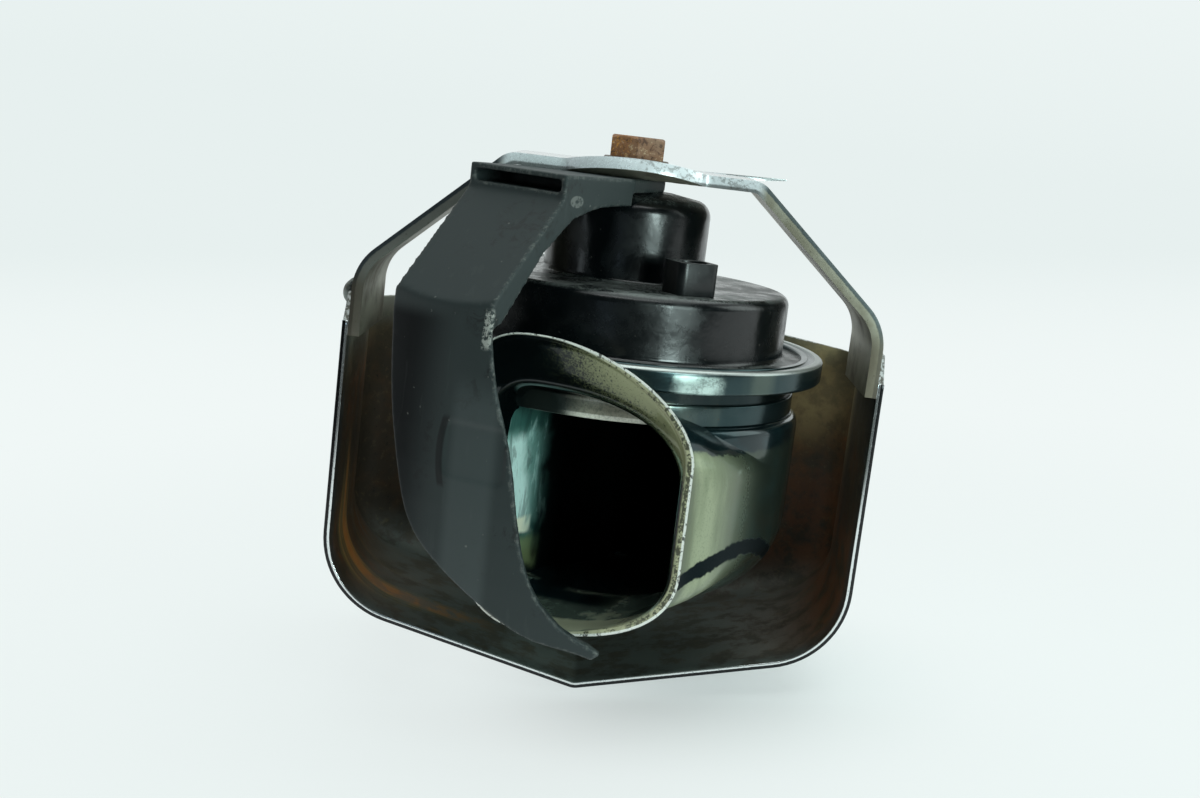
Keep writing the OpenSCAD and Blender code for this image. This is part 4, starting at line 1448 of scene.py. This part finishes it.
@dataclass
class Strap(Assembly):
    """The strap across the open top, its weld beads, the bolt and the washer."""

    width: float = 34.6
    thick: float = 2.8
    flat: float = 60.8
    drop: float = 30.8
    top_r: float = 6.0
    foot_r: float = 14.0
    foot_x: float = 64.3
    foot_z: float = -48.2
    pad_r: float = 24.0
    pad_lip: float = 2.0
    ear: float = 8.6
    hole_r: float = 4.3
    shank_r: float = 4.0
    shank: float = 20.0
    washer: float = 1.6
    hexagon: float = 13.0
    head: float = 5.3
    weld_z: float = -38.2
    weld_r: float = 2.05
    heavy_r: float = 3.25

    def line(self) -> list[Flat]:
        """The outer face's profile from the left foot to the right one."""
        a = math.atan2(self.drop, self.foot_x - self.flat / 2)
        b = math.pi / 2 - a
        ct = (self.flat / 2 - self.top_r * math.tan(a / 2), -self.top_r)
        cl = (self.foot_x - self.foot_r, -self.drop - self.foot_r * math.tan(b / 2))
        top = arc(ct, self.top_r, 90, 90 - math.degrees(a), 10)
        low = arc(cl, self.foot_r, math.degrees(b), 0, 12)
        flat = [(ct[0] * i / 24, 0.0) for i in range(24)]
        leg = between(top[-1], low[0], 14)
        foot = [(self.foot_x, low[-1][1] + (self.foot_z - low[-1][1]) * i / 3) for i in range(1, 4)]
        right = flat + top + leg + low + foot
        return [(-x, z) for x, z in right[:0:-1]] + right

    def half_width(self, x: float) -> float:
        """Half of the strap's width at x, with the round pad in the middle."""
        pad = math.sqrt(max(0.0, self.pad_r**2 - x * x))
        return max(self.width / 2, pad)

    def sheet(self) -> bpy.types.Object:
        """The bent strap with its pad, its turned-up lip and the bolt's hole."""
        rows: list[list[Point]] = []
        for x, z in self.line():
            half = self.half_width(x)
            row = []
            for i in range(29):
                y = -half + 2 * half * i / 28
                lift = self.pad_lip * max(0.0, (-y - self.width / 2) / (self.pad_r - self.width / 2))
                row.append((x, y, z + lift))
            rows.append(row)
        obj = skin("strap_pressing", rows, closed=False)
        if sum(f.normal.z for f in obj.data.polygons) < 0:
            with editing(obj):
                bpy.ops.mesh.flip_normals()
        modify(obj, "SOLIDIFY", thickness=self.thick * MM, offset=-1.0, use_even_offset=True)
        carve(obj, rod("bolt_hole", self.hole_r, (0, 0, -5), (0, 0, 3)))
        return obj

    def blade(self) -> bpy.types.Object:
        """The corner left at the far right bend, thinned to a point."""
        x0, x1 = self.flat / 4, self.flat / 2 + self.ear
        obj = block("ear_blade", (x0, self.width / 2 - 5, -self.thick + 0.6), (x1, self.width / 2, 0.0))
        for v in obj.data.vertices:
            if v.co.x > (x1 - 0.1) * MM:
                v.co.z = (0.5 if v.co.z > -0.001 else 0.1) * MM
                v.co.y += (-1.0 if v.co.y > (self.width / 2 - 1) * MM else 2.4) * MM
        return obj

    def build(self) -> None:
        """Builds the strap, the beads and the fasteners."""
        obj = carve(self.sheet(), self.blade(), join=True)
        soften(obj, 0.45, 3, 50)
        smooth(obj, 50)
        dress(obj, Finishes.strap_top, Finishes.dull, Finishes.strap_edge)
        for face in obj.data.polygons:
            side = abs(face.normal.y) > 0.35
            inward = face.normal.z < -0.2 or face.normal.x * face.center.x < 0 and abs(face.normal.x) > 0.5
            face.material_index = 2 if side else (1 if inward else 0)
        store(obj, "depth", reach(places_of(obj)[:, [0, 2]], self.line(), closed=False))
        self.place(obj, Body.COVER, "strap")
        self.beads()
        self.bolt()

    def bead(self, side: int, start: float, end: float) -> bpy.types.Object:
        """One lumpy bead along the joint of a wall and a foot. The near left one is heavier.

        Args:
            side: 1 on the right and -1 on the left.
            start: where it starts along Y.
            end: where it ends.

        Returns:
            The bead.
        """
        heavy = side < 0 and start < 0
        radius = self.heavy_r if heavy else self.weld_r
        more, out = radius - self.weld_r, 0.8 if heavy else 1.0
        steps, rings = max(8, int((end - start) / 0.6)), []
        for i in range(steps + 1):
            t = i / steps
            cap = math.sqrt(max(0.0, 1 - (2 * t - 1) ** 8))
            ripple = 1 + 0.12 * math.sin(i * 2.3) + 0.08 * math.sin(i * 0.9 + side)
            r = radius * cap * ripple
            y = start + (end - start) * t
            ring = []
            for a in (FULL_TURN * j / 20 for j in range(20)):
                lump = 0.95 * (1 + more * 0.12 * math.sin(2.7 * i + 3 * a))
                x = side * (self.foot_x - 0.4 + more * 0.8 + r * math.cos(a) * out)
                ring.append((x, y, self.weld_z - 0.4 + r * math.sin(a) * lump))
            rings.append(ring)
        obj = skin(f"weld_{'right' if side > 0 else 'left'}_{int(start + 30)}", rings)
        modify(obj, "SUBSURF", levels=1, render_levels=1)
        return obj

    def beads(self) -> None:
        """Builds the four beads as one piece."""
        spans = ((-11.0, -3.0), (3.0, self.width / 2 - 1))
        made = [self.bead(side, start, end) for side in (-1, 1) for start, end in spans]
        only(made[0])
        for obj in made[1:]:
            obj.select_set(True)
        bpy.ops.object.join()
        obj = bpy.context.active_object
        obj.name = "welds"
        self.show(mend(obj), 60, Finishes.weld, Body.COVER, "weld_beads")

    def bolt(self) -> None:
        """Builds the rusted bolt and dresses the washer."""
        low, top = self.washer, self.washer + self.head
        head = rod("hanger_bolt", self.hexagon / 2 / math.cos(math.pi / 6), (0, 0, low), (0, 0, top), 6)
        dome = [(0, 12), (12, 12), (12, top - 3.4), (7.5, top - 0.9), (6.1, top), (0, top)]
        carve(head, turned("dome_cut", dome, 64, closed=False))
        soften(head, 0.35, 3, 30)
        shank = rod("shank", self.shank_r, (0, 0, low - self.shank), (0, 0, low + 0.3), 64)
        self.show(carve(head, shank, join=True), 40, Finishes.rust, Body.COVER, "mounting_bolt")
        self.refined("flat_washer", "bolt_washer", 0.25, Finishes.washer, Body.COVER)


# SHROUD


@dataclass
class Shroud(Assembly):
    """The matte moulded arm and the shield that hangs from it."""

    voxel: float = 0.5

    def build(self) -> None:
        """Rounds the moulding's edges and finds where they rub."""
        obj = copy_of(self.nodes, "shroud", "shroud_moulding")
        modify(obj, "REMESH", mode="VOXEL", voxel_size=self.voxel * MM, use_smooth_shade=True)
        modify(obj, "SMOOTH", factor=0.5, iterations=3)
        self.show(mark_edges(obj), 60, Finishes.moulding, Body.HORN, "shroud")


# MOTOR


@dataclass
class Motor(Assembly):
    """The motor's housing, its crimped rim, the works inside, the boss and the terminals."""

    hole_r: float = 4.3
    can_r: float = 20.0
    can_round: float = 4.3
    can_fall: float = 5.2
    can_foot: float = 1.2
    drum_r: float = 42.0
    drum_round: float = 2.5
    drum_foot: float = 1.5
    can_z: float = -6.0
    drum_z: float = -27.4
    flange_z: float = -43.0
    sheet: float = 1.2
    rim_r: float = 52.3
    crimp: float = 1.0
    crimp_z: float = -47.5
    disc_rise: float = 0.35
    disc_held: float = 37.0
    disc_carried: float = 31.0

    @property
    def flange_r(self) -> float:
        """Radius of the flange inside the crimped ring."""
        return self.rim_r - self.crimp - 0.1

    def outer(self) -> list[Flat]:
        """The housing's outer line, from the bolt's hole out to the flange."""
        can, drum, low = self.can_z, self.drum_z, self.flange_z
        r, foot, edge, root = self.can_round, self.can_foot, self.drum_round, self.drum_foot
        return (
            [(self.hole_r, can), (self.can_r * 0.52, can)]
            + arc((self.can_r - r, can - self.can_fall), r, 72, 0, 12)
            + [(self.can_r, can - 12)]
            + arc((self.can_r + foot, drum + foot), foot, 180, 270, 6)
            + [(self.can_r + 4, drum), (self.can_r + 4.6, drum), (30, drum), (36, drum)]
            + arc((self.drum_r - edge, drum - edge), edge, 90, 0, 10)
            + [(self.drum_r, drum - 8)]
            + arc((self.drum_r + root, low + root), root, 180, 270, 8)
            + [(self.flange_r, low)]
        )

    def inner(self) -> list[Flat]:
        """The housing's inner line, from the flange back to the bolt's hole."""
        t, can, drum, r, edge = self.sheet, self.can_z, self.drum_z, self.can_round, self.drum_round
        back = (
            [(self.hole_r, can - t), (self.can_r * 0.52, can - t)]
            + arc((self.can_r - r, can - self.can_fall), r - t, 72, 0, 8)
            + [(self.can_r - t, drum - t)]
            + arc((self.drum_r - edge, drum - edge), edge - t, 90, 0, 6)
            + [(self.drum_r - t, self.flange_z - t), (self.flange_r, self.flange_z - t)]
        )
        return back[::-1]

    def build(self) -> None:
        """Builds the housing and the ring, and dresses the works."""
        housing = turned("motor_pressing", self.outer() + self.inner())
        self.show(housing, 30, Finishes.enamel, Body.HORN, "motor_housing")
        self.ring()
        self.refined("adjuster_boss", "screw_boss", 0.45, Finishes.boss, Body.HORN)
        self.refined("adjusting_screw", "set_screw", 0.2, Finishes.plated, Body.ADJUSTER)
        self.refined("terminal_block", "terminal_base", 0.4, Finishes.board, Body.HORN)
        self.refined("terminal_blades", "terminal_tags", 0.15, Finishes.brass, Body.HORN)
        self.works()

    def ring(self) -> None:
        """Builds the channel folded over the housing and the projector's plate."""
        t, low, flange, seat = self.crimp, self.crimp_z, self.flange_r, self.drum_r + 4.8
        top, out = self.flange_z + t, self.rim_r - t
        fold = np.linspace(0, math.pi, 9)
        groove = [(self.rim_r - 3.0 + 0.9 * math.cos(a), top - 0.45 * math.sin(a)) for a in fold]
        line = (
            [(seat, self.flange_z), (flange, self.flange_z), (flange, low + t), (seat, low + t)]
            + arc((seat + 0.4, low + 0.4), 0.4, 180, 270, 3)
            + arc((out, low + t), t, -90, 0, 8)
            + arc((out, top - t), t, 0, 90, 8)
            + [(self.rim_r - 2.1, top)]
            + groove
            + arc((seat + 0.4, top - 0.4), 0.4, 90, 180, 3)
        )
        self.show(turned("crimped_ring", line), 40, Finishes.ring, Body.HORN, "crimp_ring")

    def diaphragm(self, parts: int = 6) -> None:
        """Builds the sprung disc in sectors of one outline, raised in a ring between the clamped rim and the
        stem.

        Neighbours share one outline along the line where they meet, so the disc stays whole.

        Args:
            parts: how many sectors it has.
        """
        places = places_of(self.nodes["diaphragm"])
        radii, heights = np.hypot(places[:, 0], places[:, 1]), places[:, 2]
        under, over = heights.min(), heights.max() - self.disc_rise
        flat = [(float(r), 0.0) for r in range(30, 44)]
        line = [(radii.min(), 0.0), (20.0, 0.0), (22.0, self.disc_rise), (28.0, self.disc_rise)] + flat
        line.append((radii.max(), 0.0))
        outline = [(r, under + h) for r, h in line] + [(r, over + h) for r, h in reversed(line)]
        wide = FULL_TURN / parts
        for index in range(parts):
            obj = turned(f"diaphragm_sector_{index + 1}", outline, 16, start=index * wide, wide=wide)
            dress(smooth(obj, 30), Finishes.silver)
            rest = Vector((0, 0, over * MM))
            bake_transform(obj)
            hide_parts("diaphragm")
            self.made.append(obj)

    def works(self) -> None:
        """Dresses what the housing holds."""
        self.diaphragm()
        for node, finish in {
            "core": Finishes.iron,
            "bobbin": Finishes.board,
            "coil": Finishes.winding,
            "armature": Finishes.iron,
            "armature_stem": Finishes.steel,
            "stem_nut": Finishes.steel,
            "gasket_upper": Finishes.paper,
            "gasket_lower": Finishes.paper,
            "terminal_rivets": Finishes.brass,
            "breaker_stack": Finishes.resin,
            "spring_root": Finishes.spring,
            "moving_spring": Finishes.spring,
            "moving_point": Finishes.silver,
            "fixed_arm": Finishes.brass,
            "fixed_point": Finishes.silver,
            "breaker_rivets": Finishes.brass,
            "feed_strips": Finishes.brass,
        }.items():
            self.keep(node, finish)


# PROJECTOR


@dataclass
class Projector(Assembly):
    """The snail-shaped projector: plate, scroll, duct and the wall that winds inside."""

    azimuth: float = 17.0
    reach: float = 57.0
    right: float = 36.6
    left: float = 18.0
    off: float = 1.5
    radius: float = 48.0
    height: float = 45.5
    lift: float = 15.0
    sheet: float = 1.2
    edge: float = 16.0
    top_z: float = -56.0
    skirt_r: float = 46.0
    bead_z: float = -37.2
    sill: float = 2.0
    low_dir: float = -53.0
    round_n: int = 176
    duct_n: int = 144
    # each: distance back from the mouth, fall of the roof, right side outward, left side in, roof's steepness
    stations: tuple[tuple[float, float, float, float, float], ...] = (
        (0, 0, 0, 0, 0), (1, 2.3, -1.1, 0.8, 1), (2, 5.1, -1.8, 1.5, 1), (3, 8, -2.1, 2.2, 1),
        (4, 10.2, -2.2, 2.9, 0.6), (5, 11, -2.1, 3.6, 0), (9, 11.6, -1, 6, 0), (17, 12.6, 2.85, 8, 0),
        (29, 14.4, 5.7, 8, 0), (41, 16, 7.98, 8, 0), (49, 17.4, 9.5, 8, 0),
    )

    @property
    def floor_z(self) -> float:
        """Lowest height of the scroll's floor."""
        return self.top_z - self.height

    def scroll(self, name: str, t: float, top: float) -> bpy.types.Object:
        """The closed drum of the scroll, inset by t.

        Args:
            name: the piece's name.
            t: how far it is inset.
            top: the height of its flat top.

        Returns:
            The drum.
        """
        r, e = self.radius - t, self.edge - t
        angles = [-2 * math.pi * j / self.round_n for j in range(self.round_n)]
        lows = [
            self.floor_z + t + self.lift * (1 - math.cos(a - math.radians(self.low_dir))) / 2 for a in angles
        ]
        mid = self.floor_z + self.lift / 2 + t
        rings: list[list[Point]] = []

        def ring(place: Sequence[Flat]) -> None:
            """Adds one ring from a radius and a height for each direction."""
            rings.append([(p * math.cos(a), p * math.sin(a), z) for (p, z), a in zip(place, angles)])

        ring([(0.0, top)] * self.round_n)
        ring([(self.skirt_r + 0.2 - t, top)] * self.round_n)
        brow = self.top_z - 0.2 - t / 3
        for i in range(9):
            a = math.radians(90 * i / 8)
            ring([(r - 1.6 * (1 - math.sin(a)), brow - 2.6 * (1 - math.cos(a)))] * self.round_n)
        for i in range(1, 7):
            ring([(r, brow - 2.6 + (low + e - brow + 2.6) * i / 7) for low in lows])
        for i in range(15):
            a = math.radians(90 * i / 14)
            ring([(r - e * (1 - math.cos(a)), low + e * (1 - math.sin(a))) for low in lows])
        for i in range(1, 9):
            f = 1 - i / 8
            ring([((r - e) * f, mid + (low - mid) * f) for low in lows])
        return self.face(skin(name, rings))

    def face(self, obj: bpy.types.Object) -> bpy.types.Object:
        """Turns a piece drawn with its mouth along -Y to where the mouth looks."""
        obj.rotation_euler = (0, 0, -math.radians(self.azimuth))
        return settle(obj)

    def at(self, back: float) -> list[float]:
        """The duct's station at a distance back from the mouth, smoothed between the given ones."""
        given = np.array(self.stations)
        i = int(np.clip(np.searchsorted(given[:, 0], back, side="right") - 1, 0, len(given) - 2))
        x0, x1 = given[i, 0], given[i + 1, 0]
        u = (back - x0) / (x1 - x0)
        low, high = max(i - 1, 0), min(i + 2, len(given) - 1)
        m0 = (given[i + 1] - given[low]) / (x1 - given[low, 0]) * (x1 - x0)
        m1 = (given[high] - given[i]) / (given[high, 0] - x0) * (x1 - x0)
        h = (2 * u**3 - 3 * u**2 + 1, u**3 - 2 * u**2 + u, -2 * u**3 + 3 * u**2, u**3 - u**2)
        made = h[0] * given[i] + h[1] * m0 + h[2] * given[i + 1] + h[3] * m1
        made[0] = back
        return list(made)

    def section(self, d: Sequence[float], t: float, y: float, thin: float) -> list[Point]:
        """One section of the duct: an arch above, squarer below, narrower on its left.

        Args:
            d: the duct's station.
            t: how far the sides and the floor are inset.
            y: where the section stands.
            thin: how far the roof is inset.

        Returns:
            The ring of points.
        """
        top_z, low_z = self.mouth_top - d[1] - thin * (1 - 0.6 * d[4]), self.mouth_low + 6 * d[0] / 49 + t
        right, left = self.right + d[2] - t, self.left - d[3] - t
        e = 1.8 + 0.1 * min(5.0, d[0])
        high, low_r, low_l = (top_z - f * (top_z - low_z) for f in (0.35, 0.7, 0.6))
        ring = []
        for i in range(self.duct_n):
            p = 2 * math.pi * (i + 0.5) / self.duct_n
            c, s = math.cos(p), math.sin(p)
            w = right if c > 0 else left
            k = (e if c > 0 else 3.0) if s > 0 else (2.3 if c > 0 else 2.0)
            base = high if s > 0 else (low_r if c > 0 else low_l)
            x = self.off + w * math.copysign(abs(c) ** (2 / k), c)
            z = base + (top_z - base) * s ** (2 / k) if s > 0 else base - (base - low_z) * (-s) ** (2 / k)
            ring.append((x, y, z))
        return ring

    @property
    def mouth_top(self) -> float:
        """Height of the mouth's highest point."""
        return self.bead_z

    @property
    def mouth_low(self) -> float:
        """Height of the mouth's lowest point."""
        return self.floor_z - self.sill

    def duct(self, name: str, t: float) -> bpy.types.Object:
        """The closed duct from inside the scroll out to the mouth, inset by t."""
        backs = [49, 45, 41, 37, 33, 29, 25, 21, 17, 14, 11, 9, 7.5, 6.5, 5.7, 5]
        backs += [4.5, 4, 3.5, 3, 2.5, 2, 1.5, 1, 0.5, 0]
        rings = []
        for back in backs:
            d = self.at(back)
            steep = max(0.0, min(1.0, d[4]))
            thin = t * min(1.0, 0.34 + back / 9)
            if t == 0 or back > 0:
                rings.append(self.section(d, t, -self.reach + back - 0.85 * thin * steep, thin))
        if t > 0:
            rings.append(self.section(self.at(0), t, -self.reach - 0.5, t * 0.34))
            rings.append(self.section(self.at(0), t, -self.reach - 2, t * 0.34))
        ends = (rings[0], rings[-1])
        first, last = ([tuple(sum(axis) / len(end) for axis in zip(*end))] * len(end) for end in ends)
        return self.face(skin(name, [first, *rings, last]))

    def build(self) -> None:
        """Builds the shell, the winding wall and the plate."""
        shell = self.scroll("projector_pressing", 0, self.top_z)
        carve(shell, self.duct("duct_outer", 0), join=True)
        inner = self.scroll("scroll_inner", self.sheet, self.top_z + 1)
        carve(shell, inner, self.duct("duct_inner", self.sheet))
        wide = self.skirt_r + 0.2
        cut = [(0, self.top_z), (wide, self.top_z), (wide, -35), (0, -35)]
        carve(shell, turned("skirt_cut", cut, closed=False))
        mend(shell, 0.01)
        soften(shell, 0.4, 3, 60)
        smooth(shell, 35)
        self.mark_inner(shell)
        self.mark_rim(shell)
        self.place(dress(shell, Finishes.lacquer), Body.HORN, "projector_shell")
        self.plate()
        self.refined("scroll_wall", "winding_wall", 0.3, Finishes.wall, Body.HORN)

    def mark_inner(self, obj: bpy.types.Object) -> None:
        """Stores which points lie on the inner face, as the value inner."""
        turn = Matrix.Rotation(math.radians(self.azimuth), 3, "Z")
        values = []
        for v in obj.data.vertices:
            p, n = turn @ v.co / MM, turn @ v.normal
            out = Vector((p.x - self.off, 0, p.z + 72))
            near = p.y < -40
            inward = out.dot(Vector((n.x, 0, n.z))) < 0 if near else Vector((p.x, p.y)).dot(n.xy) < 0
            values.append(1.0 if inward else 0.0)
        store(obj, "inner", np.array(values))

    def mark_rim(self, obj: bpy.types.Object) -> None:
        """Stores each point's distance from the mouth's outer edge, in millimetres, as the value rim."""
        turn = np.array(Matrix.Rotation(math.radians(self.azimuth), 3, "Z"))
        near = reach(places_of(obj) @ turn.T, self.section(self.at(0), 0, -self.reach, 0))
        store(obj, "rim", near)

    def plate(self) -> None:
        """Builds the plate under the diaphragm with its skirt and throat."""
        r = self.skirt_r
        line = (
            [(8, -48.9), (42.2, -48.9), (43.4, -45.3), (51.2, -45.3), (51.2, -46.5)]
            + [(r - 1, -46.5), (r - 1, -51.0)]
            + arc((r - 0.6, -51.6), 0.6, 90, 0, 5)
            + [(r, -55.7)]
            + arc((r - 0.3, -55.7), 0.3, 0, -90, 3)
            + [(r - 2.4, -56.0), (r - 2.4, -50.5), (10, -50.5), (10, -56), (8, -56)]
        )
        self.show(turned("throat_plate", line), 35, Finishes.ring, Body.HORN, "projector_plate")


# STUDIO


@dataclass(frozen=True)
class Lamp:
    """A soft box that looks at the horn.

    aside is its direction in degrees to the right of the camera's side, rise its height above the level in
    degrees, far its distance and size its width and height in metres. glow is how bright its face is, 1 for
    white paper in the open.
    """

    name: str
    aside: float
    rise: float
    far: float
    size: Flat
    glow: float
    colour: str = "#f4fafa"

    def hang(self) -> None:
        """Adds the lamp."""
        a, e = math.radians(self.aside), math.radians(self.rise)
        way = Vector((math.sin(a) * math.cos(e), -math.cos(a) * math.cos(e), math.sin(e)))
        bpy.ops.object.light_add(type="AREA", location=Vector((0, 0, -0.05)) + way * self.far)
        lamp = bpy.context.active_object
        lamp.name = self.name
        lamp.data.shape = "RECTANGLE"
        lamp.data.size, lamp.data.size_y = self.size
        lamp.data.energy = self.glow * math.pi * self.size[0] * self.size[1]
        lamp.data.color = tone(self.colour)[:3]
        lamp.rotation_euler = (-way).to_track_quat("-Z", "Y").to_euler()


@dataclass
class Studio:
    """The floor, the lights and the camera."""

    lamps: tuple[Lamp, ...] = (
        Lamp("overhead", 0, 90, 0.95, (1.2, 1.1), 1.7, "#ecf8f6"),
        Lamp("front_top", 8, 56, 0.8, (0.5, 0.12), 4.0),
        Lamp("right_side", 92, 26, 0.8, (0.35, 0.4), 2.0, "#e9f8f4"),
        Lamp("left_side", -88, 24, 0.8, (0.3, 0.4), 0.25, "#e6f1f8"),
        Lamp("front_right", 37, 10, 0.6, (0.13, 0.24), 21.0, "#def6f3"),
        Lamp("low_left", -61, 2, 0.62, (0.08, 0.2), 1.6, "#dfeef4"),
        Lamp("low_front", -7, -2, 0.6, (0.1, 0.06), 1.2, "#b9d2e4"),
    )
    pale: str = "#f1f8f7"
    focal: float = 1537.0
    frame_width: float = 1200.0
    place: Point = (-1.4, -384.1, 8.9)
    yaw: float = 0.07
    pitch: float = 10.085
    roll: float = 6.84

    def camera(self) -> None:
        """Sets the camera where the photograph was taken from."""
        yaw, pitch, roll = (math.radians(a) for a in (self.yaw, self.pitch, self.roll))
        ahead = Vector((-math.sin(yaw) * math.cos(pitch), math.cos(yaw) * math.cos(pitch), -math.sin(pitch)))
        across = Vector((math.cos(yaw), math.sin(yaw), 0))
        up = across.cross(ahead)
        x = math.cos(roll) * across + math.sin(roll) * up
        y = -math.sin(roll) * across + math.cos(roll) * up
        bpy.ops.object.camera_add()
        camera = bpy.context.active_object
        turn = Matrix((x, y, -ahead)).transposed()
        camera.matrix_world = Matrix.Translation(Vector(self.place) * MM) @ turn.to_4x4()
        camera.data.sensor_width = 36
        camera.data.lens = 36 * self.focal / self.frame_width
        camera.data.clip_start = 0.01
        bpy.context.scene.camera = camera

    def floor(self, low: float) -> None:
        """Lays a plain pale floor, level for the camera, that fades far away.

        Args:
            low: the height that the horn rests on, in metres.
        """
        bpy.ops.mesh.primitive_circle_add(vertices=96, radius=4, fill_type="NGON", location=(0, 0, low))
        obj = named("floor")
        obj.rotation_euler = (0, -math.radians(self.roll), 0)
        settle(obj)
        g = Graph(bpy.data.materials.new("pale_floor"))
        x, y, _ = g.axes()
        away = ((x - 38.0).squared() + y * y) ** 0.5
        # in reflections and bounced light the floor in front is near black, for the dark room on the camera's
        # side
        front = y.step(-200, -340) * (1.0 - g.seen)
        face = {
            "Base Color": g.layers("#dfe6e5", (front, "#101213")),
            "Roughness": 0.6,
            "Normal": g.bump(g.noise(1.4, 3, 0.6), 0.06, 0.2),
        }
        shader = g.node("ShaderNodeBsdfPrincipled", inputs=face)
        far = g.layers("#f0f7f6", (y.step(350, 1500), "#e7f0ef"))
        glow = g.node("ShaderNodeEmission", inputs={"Color": far, "Strength": 1.0 - front * 0.94})
        # painted shade: the floor glows least round a point right of the contact, so it is darkest and shows
        # its shadow most under the horn's right side
        share = away.step(0, 75) * 0.42 + away.step(75, 420) * 0.2 + 0.38
        both = g.node("ShaderNodeMixShader", inputs={0: share, 1: shader, 2: glow})
        g.node("ShaderNodeOutputMaterial", inputs={"Surface": both})
        obj.data.materials.append(g.owner)
        obj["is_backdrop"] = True

    def sky(self) -> None:
        """Surrounds the scene with soft pale light, dim on the camera's side."""
        g = Graph(bpy.data.worlds.new("studio"))
        bpy.context.scene.world = g.owner
        way = g.node("ShaderNodeTexCoord", output="Generated")
        height = g.node("ShaderNodeSeparateXYZ", inputs={0: way}, output="Z")
        lean = {0: way, 1: (0.12, 1.0, 0.0)}
        lean = g.node("ShaderNodeVectorMath", {"operation": "DOT_PRODUCT"}, lean, output="Value")
        glow = lean.step(-0.3, 0.4) * 0.9 + 0.05
        stops = ((0.0, tone("#e7f0ef")), (0.22, tone(self.pale)))
        fade = g.node("ShaderNodeValToRGB", {"stops": stops}, {0: height})
        lit = g.node("ShaderNodeBackground", inputs={"Color": tone("#ecf3f2"), "Strength": glow})
        plain = g.node("ShaderNodeBackground", inputs={"Color": fade})
        both = g.node("ShaderNodeMixShader", inputs={0: g.seen, 1: lit, 2: plain})
        g.node("ShaderNodeOutputWorld", inputs={"Surface": both})

    def build(self, low: float) -> None:
        """Sets the whole studio up."""
        bpy.context.scene.view_settings.view_transform = "Standard"
        self.camera()
        self.floor(low)
        self.sky()
        for lamp in self.lamps:
            lamp.hang()


def main() -> None:
    logging.basicConfig(level=logging.INFO, format="%(name)s: %(message)s")
    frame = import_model()
    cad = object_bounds()
    Studio().build(cad[0].z)
    for part in (Cover(frame), Strap(frame), Shroud(frame), Motor(frame), Projector(frame)):
        part.build()
        LOG.info("%s: %d pieces", type(part).__name__, len(part.made))


if __name__ == "__main__":
    main()
